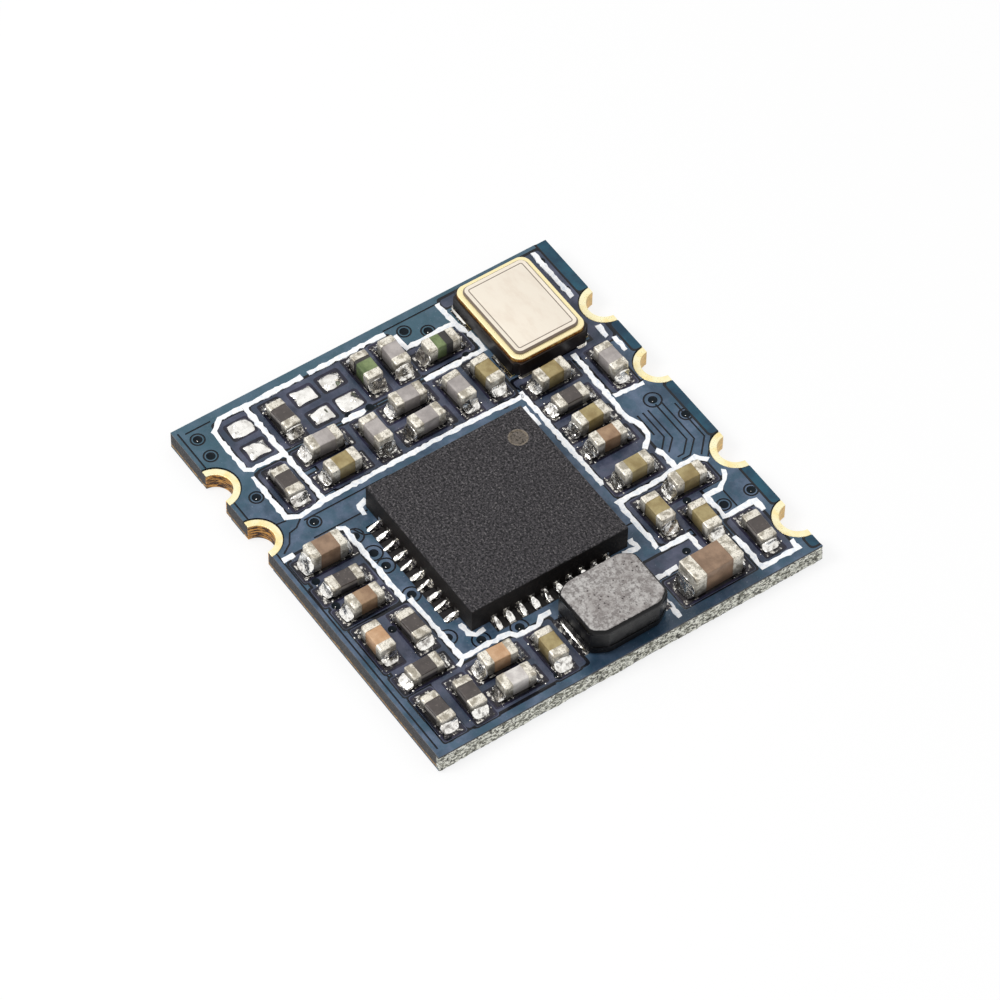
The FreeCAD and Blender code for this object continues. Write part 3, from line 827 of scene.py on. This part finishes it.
# radio chip: soft edged mould and toes of solder
chip = {"edge": 0.012, "toeReach": 0.37, "toeHeight": 0.20, "leads": 10, "pitch": 0.4,
        "toeWidths": (0.19, 0.15, 0.15, 0.13)}      # +X, +Y, -X and -Y sides
mould = copyNode("chip_body", "chipMould")
low, high = nodeBox("chip_body")
chipMiddle = (low + high) / 2
halfSide = (high.x - low.x) / 2


def fromMiddle(point, centre):
    return max(abs(point.x - centre.x), abs(point.y - centre.y))


def inMark(point):
    flat = math.hypot(point.x - pinMark["from"][0], point.y - pinMark["from"][1])
    return flat < pinMark["radius"] and point.z > high.z - 0.05


pickPoints(mould, inMark)
shift = [(end - start) * mm for start, end in zip(pinMark["from"], pinMark["to"])]
bpy.ops.transform.translate(value=(*shift, 0))
leaveEdit()
pickEdges(mould, lambda start, end: min(start.z, end.z) > high.z - 0.002
          and fromMiddle(start, chipMiddle) > 2)
bevelPicked(chip["edge"], 2)
finishPiece(mould, finishes["mould"], ("chip_body",), 25)
dressNode("chip_lead_frame", finishes["pillow"])

toe = makeWedge("toeModel", 0.85, 6, 0.2, (-0.2, 0.2))
for vertex in toe.data.vertices:
    out = min(max(vertex.co.x / mm, 0.0), 1.0)
    vertex.co.y *= 0.24 + 0.90 * math.sin(out * 2.2)      # narrow at the wall, round at the foot
applyModifier(toe, "SUBSURF", levels=1, render_levels=1)
toes = []
for quarter in range(4):
    spin = Matrix.Rotation(math.pi / 2 * quarter, 4, "Z")
    base = Matrix.Translation(Vector((chipMiddle.x, chipMiddle.y, level["land"])) * mm) @ spin
    for index in range(chip["leads"]):
        name = f"toe_{quarter}_{index}"
        across = (index - (chip["leads"] - 1) / 2) * chip["pitch"]
        foot = Matrix.Translation(Vector((halfSide - 0.01, across + uneven(name, 0.015), 0)) * mm)
        size = (chip["toeReach"] + uneven(name + "a", 0.03) + (0.06 if quarter == 3 else 0),
                chip["toeWidths"][quarter] * (1 + uneven(name + "b", 0.2)),
                chip["toeHeight"] * (1 + uneven(name + "c", 0.2)))
        toes.append(copyPiece(toe, name, base @ foot @ Matrix.Diagonal((*size, 1.0))))
        wobble(toes[-1], 0.015, 7.0, uneven(name, 20))
finishPiece(joinPieces(toes, "chipSolder"), finishes["solder"], ("solder_joints",), 60)
discard(toe)
print("chip: 40 toes")

# solder pillows on the empty lands
pillows = {"places": [(-5.56, -1.57), (-4.68, -1.54), (-5.54, -2.46), (-4.69, -2.43),
                      (-5.53, -4.50), (-4.69, -4.52)], "size": (0.56, 0.68), "height": 0.10,
           "waists": (0.10, 0.02, 0.16), "cuts": 7, "sunk": 0.03}
bumps = []
for index, (x, y) in enumerate(pillows["places"]):
    halfX, halfY = (size / 2 for size in pillows["size"])
    bump = newBlock(f"pillow_{index}", (x - halfX, y - halfY, level["land"] - pillows["sunk"]),
                    (x + halfX, y + halfY, level["land"]))
    pickAll(bump)
    bpy.ops.mesh.subdivide(number_cuts=pillows["cuts"])
    leaveEdit()
    waist = pillows["waists"][index % 3]
    for vertex in bump.data.vertices:
        point = vertex.co / mm
        u, v = (point.x - x) / halfX, (point.y - y) / halfY
        dome = (1 - abs(u) ** 2.4) * (1 - abs(v) ** 2.4)
        dome *= 1 + 0.8 * noise.noise(Vector((u * 1.7, v * 1.7, index * 3.7)))
        lift = pillows["height"] * dome if point.z > level["land"] - 0.001 else 0
        blunt = 0.12 * u * u * v * v                       # corners drawn in
        vertex.co = Vector((x + u * halfX * (1 - waist * (1 - v * v) - blunt),
                            y + v * halfY * (1 - waist * (1 - u * u) - blunt),
                            point.z + lift)) * mm
    wobble(bump, 0.07, 3.4, index * 3.7)
    applyModifier(bump, "SUBSURF", levels=1, render_levels=1)
    bumps.append(bump)
finishPiece(joinPieces(bumps, "pillowSolder"), finishes["pillow"], ("solder_joints",), 60)
print("pillows:", len(pillows["places"]))

# crystal: stepped lid, seal ring, glossy case, solder at its four pads
crystal = {"seamInset": 0.085, "seamWidth": 0.028, "seamDepth": 0.012, "ringEdge": 0.10,
           "solderReach": 0.05, "solderHeight": 0.15,
           # solder slivers: wall's turn, shift along the wall, width
           "slivers": [(-90, -1.14, 0.78), (-90, 0.80, 0.60), (90, -0.90, 0.70), (90, 0.95, 0.72),
                       (0, -0.90, 0.50), (0, 0.95, 0.34)]}
lid = copyNode("crystal_lid", "crystalLid")
pickFaces(lid, lambda middle, normal: normal.z > 0.99)
bpy.ops.mesh.inset(thickness=crystal["seamInset"] * mm)
bpy.ops.mesh.inset(thickness=crystal["seamWidth"] * mm)
bpy.ops.transform.translate(value=(0, 0, -crystal["seamDepth"] * mm))
bpy.ops.mesh.inset(thickness=crystal["seamWidth"] * mm)
bpy.ops.transform.translate(value=(0, 0, crystal["seamDepth"] * mm))
leaveEdit()
finishPiece(lid, finishes["lid"], ("crystal_lid",), 25)

ring = copyNode("crystal_seal_ring", "sealRing")
ringLow, ringHigh = nodeBox("crystal_seal_ring")
ringMiddle = (ringLow + ringHigh) / 2
pickEdges(ring, lambda start, end: min(start.z, end.z) > ringHigh.z - 0.002
          and fromMiddle(start, ringMiddle) > 1.15)
bevelPicked(crystal["ringEdge"], 4)
finishPiece(ring, finishes["ring"], ("crystal_seal_ring",), 40)
dressNode("crystal_base", finishes["case"], 0.02, 2)
dressNode("crystal_pads", finishes["gold"])
dressNode("crystal_blank", finishes["quartz"])
print("crystal: lid and ring")

# power inductor: soft flange over black resin, solder along both ends
coil = {"corner": 0.12, "rim": 0.13, "rimSegments": 5, "solderWidth": 1.25, "solderReach": 0.05,
        "solderHeight": 0.08}
core = copyNode("inductor_core", "drumCore")
coreLow, coreHigh = nodeBox("inductor_core")
coreMiddle = (coreLow + coreHigh) / 2
pickEdges(core, lambda start, end: abs(start.z - end.z) > 0.05
          and fromMiddle(start, coreMiddle) > 0.7)
bevelPicked(coil["corner"], 3)
pickEdges(core, lambda start, end: min(start.z, end.z) > coreHigh.z - 0.002)
bevelPicked(coil["rim"], coil["rimSegments"])
wobble(core, 0.03, 2.0, 4.0)
for vertex in core.data.vertices:
    vertex.co.z = min(vertex.co.z, coreHigh.z * mm)      # never above the source's top
finishPiece(core, finishes["ferrite"], ("inductor_core",), 50)
finishPiece(copyNode("inductor_resin", "resinFill"), finishes["resin"],
            ("inductor_resin",), 30)
dressNode("inductor_winding", finishes["wire"])
dressNode("inductor_terminals", finishes["land"])

caseLow, caseHigh = nodeBox("crystal_base")
caseMiddle = (caseLow + caseHigh) / 2
caseHalf, coreHalf = (caseHigh - caseLow) / 2, (coreHigh - coreLow) / 2
largeSolder = []
for number, turn in enumerate((-90, 90)):
    place = Matrix.Translation(Vector((coreMiddle.x, coreMiddle.y, level["land"])) * mm)
    spin = Matrix.Rotation(math.radians(turn), 4, "Z")
    largeSolder.append(addFillet(f"coil{number}", place @ spin, (coreHalf.y - 0.03, 0, 0),
                                 (coil["solderReach"] + 0.03, coil["solderWidth"],
                                  coil["solderHeight"]), 0.02))
for number, (turn, along, width) in enumerate(crystal["slivers"]):
    shift = (along, 0) if turn else (0, along)
    place = Matrix.Translation(Vector((caseMiddle.x + shift[0], caseMiddle.y + shift[1],
                                       level["land"])) * mm)
    spin = Matrix.Rotation(math.radians(turn), 4, "Z")
    reach = caseHalf.y if turn else caseHalf.x
    largeSolder.append(addFillet(f"case{number}", place @ spin, (reach - 0.04, 0, 0),
                                 (crystal["solderReach"] + 0.04, width,
                                  crystal["solderHeight"]), 0.006))
finishPiece(joinPieces(largeSolder, "caseSolder"), finishes["pillow"],
            ("solder_joints",), 60)
discard(fillet)
print("inductor: core, resin and solder")

# loose beads of solder round the lands
beads = {"perEnd": 2, "radius": 0.020, "spread": 0.10}
deselectAll()
bpy.ops.mesh.primitive_uv_sphere_add(segments=8, ring_count=5, radius=mm)
bead = takeNew("beadModel")
pickFaces(bead, lambda middle, normal: normal.z < -0.6)
bpy.ops.transform.translate(value=(0, 0, 0.35 * mm))
leaveEdit()
beadPieces = []
for node in blockFinish:
    middle, length, width, height, turn = partPlace(node)
    matrix = partMatrix(node)
    for index in range(2 * beads["perEnd"]):
        name = f"bead_{node}_{index}"
        side = 1 if index % 2 else -1
        end = 1 if index < beads["perEnd"] else -1
        x = end * (length / 2 + 0.14 + uneven(name + "x", beads["spread"]))
        y = side * (width / 2 + 0.02 + abs(uneven(name + "y", beads["spread"])))
        radius = beads["radius"] * (1.1 + uneven(name, 0.7))
        place = matrix @ Matrix.Translation(Vector((x, y, -0.035)) * mm)
        beadPieces.append(copyPiece(bead, name, place @ Matrix.Scale(radius, 4)))
finishPiece(joinPieces(beadPieces, "solderBeads"), finishes["solder"],
            ("solder_joints",), 60)
print("beads:", len(blockFinish) * 2 * beads["perEnd"])

# board: torn laminate edge, contacts, lacquer in relief
edgeTear = {"columns": 120, "rows": 7, "depth": 0.045}
laminate = copyNode("board_core", "laminateCore")


def onSnapped(point):
    return point.x > 6.44


def longWays(start, end):
    return onSnapped(start) and onSnapped(end) and abs(start.z - end.z) < 1e-4


def upright(start, end):
    return onSnapped(start) and onSnapped(end) and abs(start.z - end.z) > 0.3


for chosen, cuts in ((longWays, edgeTear["columns"]), (longWays, 1), (upright, edgeTear["rows"])):
    pickEdges(laminate, chosen)
    bpy.ops.mesh.subdivide(number_cuts=cuts)
    leaveEdit()
for vertex in laminate.data.vertices:
    point = vertex.co / mm
    if onSnapped(point):
        tear = noise.noise(Vector((0, point.y * 2.2, point.z * 9))) * 0.5 + 0.4
        tear += noise.noise(Vector((4, point.y * 9, point.z * 22))) * 0.6
        vertex.co.x -= max(tear, 0) * edgeTear["depth"] * mm
finishPiece(laminate, finishes["laminate"], ("board_core",), 50)
for number in range(1, 7):
    dressNode(f"edge_contact_{number}", finishes["contact"], 0.015, 3)
dressNode("copper_top", finishes["land"])
dressNode("copper_bottom", finishes["copper"])
dressNode("solder_mask_bottom", finishes["mask"])
print("laminate and contacts")

relief = {
    "floor": 0.578, "haloFloor": 0.567, "halo": 0.05, "slope": 0.095, "corner": 0.10,
    "grooveRadius": 0.034,
    # low areas with no copper under the lacquer: x from, y from, x to, y to
    "areas": [(-6.5, 5.84, -4.4, 6.2), (-2.97, 5.90, -1.85, 6.2), (-0.4, 5.90, 1.7, 6.2),
              (3.1, 5.90, 4.55, 6.2), (5.95, 5.90, 6.32, 6.2),
              (-6.25, 2.45, -5.95, 5.76), (-6.25, 5.2, -2.6, 5.76), (-2.75, 2.5, -2.5, 5.7),
              (-2.6, 4.55, -0.9, 4.9), (-5.25, 0.6, -4.3, 2.35), (-4.1, 0.35, -2.35, 2.35),
              (2.35, 2.6, 4.0, 4.5), (4.35, 4.5, 6.05, 5.5), (-6.0, -3.9, -4.25, 0.4),
              (-4.05, -3.5, -2.35, 0.3), (-6.0, -5.05, -4.25, -4.1), (-3.95, -5.0, -2.35, -4.1),
              (4.35, -5.0, 6.1, -1.25), (1.85, -5.65, 4.3, -4.0), (-1.1, -5.8, 1.7, -4.2),
              (-2.1, 2.6, 2.1, 4.35), (4.3, 1.8, 4.9, 4.2)],
    # thin dark grooves between tracks, as runs of points
    "grooves": [[(-6.2, 0.55), (-6.2, 2.45)], [(-2.85, 4.95), (-1.7, 4.95)],
                [(3.45, 5.05), (4.1, 5.05)], [(4.35, 1.6), (4.35, 1.75)],
                [(6.12, 4.75), (6.12, 5.45)], [(-6.18, -5.85), (-6.18, -5.05)],
                [(-2.05, -4.85), (-1.85, -5.1), (-1.8, -5.35), (-1.5, -5.55), (-1.3, -5.85)],
                [(-2.2, -5.2), (-2.25, -5.6)], [(-0.55, -3.5), (-0.65, -3.75), (-1.0, -3.9)],
                [(6.2, -2.3), (6.2, -4.85), (6.0, -5.1), (5.6, -5.15)],
                [(1.8, -5.8), (4.3, -5.8)], [(4.5, -5.8), (5.3, -5.8)],
                [(0.05, 5.44), (1.6, 5.44), (2.0, 5.02), (2.0, 4.75)],
                [(0.05, 5.26), (1.5, 5.26), (1.86, 4.9), (1.86, 4.7)],
                [(0.1, 4.97), (1.25, 4.97), (1.6, 4.6)], [(0.1, 4.62), (0.9, 4.62)],
                [(0.1, 4.80), (1.1, 4.80), (1.42, 4.5)],
                [(0.05, 5.9), (1.75, 5.9), (2.3, 5.4)], [(0.3, 5.72), (1.68, 5.72), (2.15, 5.28)],
                [(-1.15, 4.65), (-1.15, 5.3)], [(-0.85, 4.95), (-0.85, 5.6)],
                [(-1.95, -2.1), (-1.95, -4.8)], [(-1.3, -4.9), (-1.3, -3.2)],
                [(5.1, 4.35), (6.2, 4.35)], [(3.05, 4.6), (3.05, 5.4)],
                [(4.0, 1.75), (5.0, 1.75)], [(4.12, 1.62), (4.9, 1.62)], [(3.0, 1.9), (3.0, 2.4)],
                [(-6.3, -6.02), (6.2, -6.02)]],
    "vias": [(-5.88, 5.6), (-4.67, 5.6), (-5.53, 1.6), (-5.88, 1.04), (-4.25, 2.0), (-2.3, 1.85),
             (-0.45, 2.57), (0.78, 5.75), (3.87, 5.68), (3.87, 4.78), (4.57, 3.05), (3.2, 4.05),
             (-4.2, -1.2), (-4.27, -1.83), (-5.84, -5.67), (-5.17, -5.68), (-3.3, -5.43),
             (-1.75, -4.6), (-0.08, -5.65), (0.88, -5.65), (2.35, -4.85), (6.0, -5.58),
             (6.0, -2.1)],
    "ringedVias": [(-0.12, 5.29), (0.0, -3.87), (0.53, -3.83), (1.7, -3.8), (3.4, -3.8),
                   (4.17, -2.05), (3.95, -3.12), (-0.75, -3.97)],
    "viaFloor": 0.545, "viaRadius": 0.100, "viaMouth": 0.17, "viaHoop": 0.195, "ringHoop": 0.25,
    "hoopWidth": 0.034, "lineLift": 0.014, "plugTop": 0.580}


def makeWell(name, area, floor, corner):
    # a shallow well with round corners and sloping sides
    x0, y0, x1, y1 = area
    well = newBlock(name, (x0, y0, floor), (x1, y1, 0.65))
    pickEdges(well, lambda start, end: abs(start.z - end.z) > 0.01)
    bevelPicked(min(corner, (x1 - x0) / 3, (y1 - y0) / 3), 3)
    spread = relief["slope"] * (0.65 - floor) / (level["mask"] - floor)
    pickPoints(well, lambda point: point.z > 0.6)
    bpy.ops.transform.resize(value=(1 + 2 * spread / (x1 - x0), 1 + 2 * spread / (y1 - y0), 1),
                             center_override=Vector(((x0 + x1) / 2, (y0 + y1) / 2, 0.65)) * mm)
    leaveEdit()
    return well


def makeGrooves(runs):
    # thin round rods along the runs, half sunk in the lacquer's face
    curve = bpy.data.curves.new("grooves", "CURVE")
    curve.dimensions = "3D"
    curve.bevel_depth = relief["grooveRadius"] * mm
    curve.bevel_resolution = 1
    curve.use_fill_caps = True
    for points in runs:
        spline = curve.splines.new("POLY")
        spline.points.add(len(points) - 1)
        for place, (x, y) in zip(spline.points, points):
            place.co = (x * mm, y * mm, (level["mask"] + relief["lineLift"]) * mm, 1)
    piece = bpy.data.objects.new("grooves", curve)
    bpy.context.scene.collection.objects.link(piece)
    useOnly(piece)
    bpy.ops.object.convert(target="MESH")
    return bpy.context.object


def partHalo(node):
    # the opening round a chip part, a little wider
    middle, length, width, height, turn = partPlace(node)
    halfX = length / 2 + chipParts["landReach"] + relief["halo"]
    halfY = width / 2 + chipParts["landMargin"] + relief["halo"]
    if turn:
        halfX, halfY = halfY, halfX
    return middle.x - halfX, middle.y - halfY, middle.x + halfX, middle.y + halfY


def makeVia(x, y, hoop):
    hole = newDrum("via", (x, y), relief["viaRadius"], relief["viaFloor"], 0.66, 16,
                   relief["viaMouth"])
    height = level["mask"] + relief["lineLift"]
    return [hole, newHoop("viaRing", (x, y), height, hoop, relief["hoopWidth"])]


lacquer = copyNode("solder_mask_top", "lacquerTop")
cutters = [makeWell(f"well_{index}", area, relief["floor"], relief["corner"])
           for index, area in enumerate(relief["areas"])]
# wells round the parts and pillows, whose floors the lacquer's finish paints near black: painted shade
for node in blockFinish:
    cutters.append(makeWell("halo_" + node, partHalo(node), relief["haloFloor"], 0.07))
for x, y in pillows["places"]:
    cutters.append(makeWell("pillowHalo", (x - 0.31, y - 0.38, x + 0.31, y + 0.38),
                            relief["haloFloor"], 0.09))
cutters.append(makeGrooves(relief["grooves"]))
for x, y in relief["vias"]:
    cutters += makeVia(x, y, relief["viaHoop"])
for x, y in relief["ringedVias"]:
    cutters += makeVia(x, y, relief["ringHoop"])
cutter = joinPieces(cutters, "reliefCutter")
applyModifier(lacquer, "BOOLEAN", operation="DIFFERENCE", object=cutter, solver="EXACT",
              use_self=True)
discard(cutter)
finishPiece(lacquer, finishes["mask"], ("solder_mask_top",), 20)

# each via: a dished plug painted near black as shade in the hole, some with a glint of tin
plugs, glints = [], []
for index, (x, y) in enumerate(relief["vias"] + relief["ringedVias"]):
    wide = relief["viaRadius"] + 0.02
    plug = newDrum(f"plug_{index}", (x, y), wide, relief["viaFloor"], relief["plugTop"], 12, wide)
    pickFaces(plug, lambda middle, normal: normal.z > 0.9)
    bpy.ops.mesh.inset(thickness=0.04 * mm)
    bpy.ops.transform.translate(value=(0, 0, -0.02 * mm))
    leaveEdit()
    plugs.append(plug)
    if index % 3:
        place = Matrix.Translation(Vector((x + 0.03, y - 0.03, 0.572)) * mm)
        glints.append(copyPiece(bead, f"glint_{index}", place @ Matrix.Scale(0.022, 4)))
finishPiece(joinPieces(plugs, "viaPlugs"), finishes["plug"], ("solder_mask_top",))
finishPiece(joinPieces(glints, "viaGlints"), finishes["solder"], ("solder_joints",), 60)
discard(bead)
print("lacquer:", len(lacquer.data.polygons), "faces")

# legend: ragged white lines that follow the lacquer
ink = {"cell": 0.055, "rag": 0.058, "grain": 9.5, "spread": 0.010, "uneven": 0.0015}
legend = copyNode("legend_print", "legendPrint")
pickAll(legend)
for normal, reach in (((1, 0, 0), 6.45), ((0, 1, 0), 6.15)):
    for index in range(1, int(2 * reach / ink["cell"])):
        bpy.ops.mesh.select_all(action="SELECT")
        offset = (-reach + index * ink["cell"]) * mm
        bpy.ops.mesh.bisect(plane_co=tuple(offset * value for value in normal), plane_no=normal)
leaveEdit()


def lacquerHeight(x, y):
    hit, where, normal, face = lacquer.ray_cast(Vector((x, y, 2)) * mm, Vector((0, 0, -1)))
    return where.z / mm if hit and where.z / mm > 0.55 else level["land"]


outward = []
for vertex in legend.data.vertices:
    flat = Vector((vertex.normal.x, vertex.normal.y, 0))
    outward.append(flat.normalized() * ink["spread"] if flat.length > 0.3 else Vector())
for vertex, shift in zip(legend.data.vertices, outward):
    point = vertex.co / mm
    upper = point.z > level["mask"] + level["print"] / 2
    rag = noise.noise_vector(Vector((point.x, point.y, 0.3)) * ink["grain"]) * ink["rag"]
    x, y = point.x + rag.x + shift.x, point.y + rag.y + shift.y
    if upper:
        height = level["mask"] + level["print"]
        height += noise.noise(Vector((x, y, 7)) * 9) * ink["uneven"]
    else:
        height = lacquerHeight(x, y)
    vertex.co = Vector((x, y, height)) * mm
finishPiece(legend, finishes["legend"], ("legend_print",), 40)
print("legend:", len(legend.data.polygons), "faces")

# studio: pale floor, soft lights, camera
studio = {"floorSize": 0.6, "floorDrop": 0.00002, "floorTone": 0.95, "selfWhite": 0.78,
          "low": 0.12, "high": 1.05}
deselectAll()
bpy.ops.mesh.primitive_plane_add(size=studio["floorSize"], location=(0, 0, -studio["floorDrop"]))
floor = takeNew("studioFloor")
pickAll(floor)
bpy.ops.mesh.subdivide(number_cuts=4)
leaveEdit()
look = Finish("studioWhite")
paint = look.node("ShaderNodeBsdfDiffuse", {}, {"Color": grey(studio["floorTone"])})
glow = look.node("ShaderNodeEmission", {}, {"Color": grey(1.0), "Strength": 1.0})
look.output(look.node("ShaderNodeMixShader", {},
                      {0: look.backdropSeen() * studio["selfWhite"], 1: paint, 2: glow}))
floor.data.materials.append(look.material)

# an overhead softbox: bright above, dim towards the horizon, white behind the object
world = bpy.data.worlds.new("studioSky")
bpy.context.scene.world = world
sky = Sky(world)
rise = sky.step(sky.axis("Z"), 0.15, 0.95)
shade = sky.node("ShaderNodeBackground", {},
                 {"Color": sky.mix(rise, grey(studio["low"]), grey(studio["high"]))})
white = sky.node("ShaderNodeBackground", {}, {"Color": grey(1.0)})
sky.output(sky.node("ShaderNodeMixShader", {}, {0: sky.backdropSeen(), 1: shade, 2: white}),
           "ShaderNodeOutputWorld")

lamps = [{"name": "keyLight", "azimuth": 335, "height": 50, "distance": 0.14, "size": 0.05, "power": 0.070},
         {"name": "sparkLight", "azimuth": 70, "height": 62, "distance": 0.16, "size": 0.014, "power": 0.018}]
for lamp in lamps:
    azimuth, rise = math.radians(lamp["azimuth"]), math.radians(lamp["height"])
    towards = Vector((math.sin(azimuth) * math.cos(rise), -math.cos(azimuth) * math.cos(rise),
                      math.sin(rise)))
    deselectAll()
    bpy.ops.object.light_add(type="AREA", location=towards * lamp["distance"],
                             rotation=towards.to_track_quat("Z", "Y").to_euler())
    light = bpy.context.object
    light.name = lamp["name"]
    light.data.size = lamp["size"]
    light.data.energy = lamp["power"]

view = {"azimuth": 54.685, "elevation": 52.110, "roll": 1.052, "distance": 143.601,
        "lens": 192.73, "offset": (-0.162, -0.066)}
azimuth, rise, roll = (math.radians(view[key]) for key in ("azimuth", "elevation", "roll"))
back = Vector((math.sin(azimuth) * math.cos(rise), -math.cos(azimuth) * math.cos(rise),
               math.sin(rise)))
right = Vector((math.cos(azimuth), math.sin(azimuth), 0))
up = back.cross(right)
right, up = (right * math.cos(roll) + up * math.sin(roll),
             up * math.cos(roll) - right * math.sin(roll))
place = (back * view["distance"] - right * view["offset"][0] - up * view["offset"][1]) * mm
bpy.ops.object.camera_add(location=place)
camera = bpy.context.object
camera.matrix_world = Matrix((
    (right.x, up.x, back.x, place.x), (right.y, up.y, back.y, place.y),
    (right.z, up.z, back.z, place.z), (0, 0, 0, 1)))
camera.data.lens = view["lens"]
camera.data.sensor_width = 36
camera.data.clip_start = 0.001
bpy.context.scene.camera = camera
bpy.context.scene.view_settings.view_transform = "Standard"
print("studio ready")
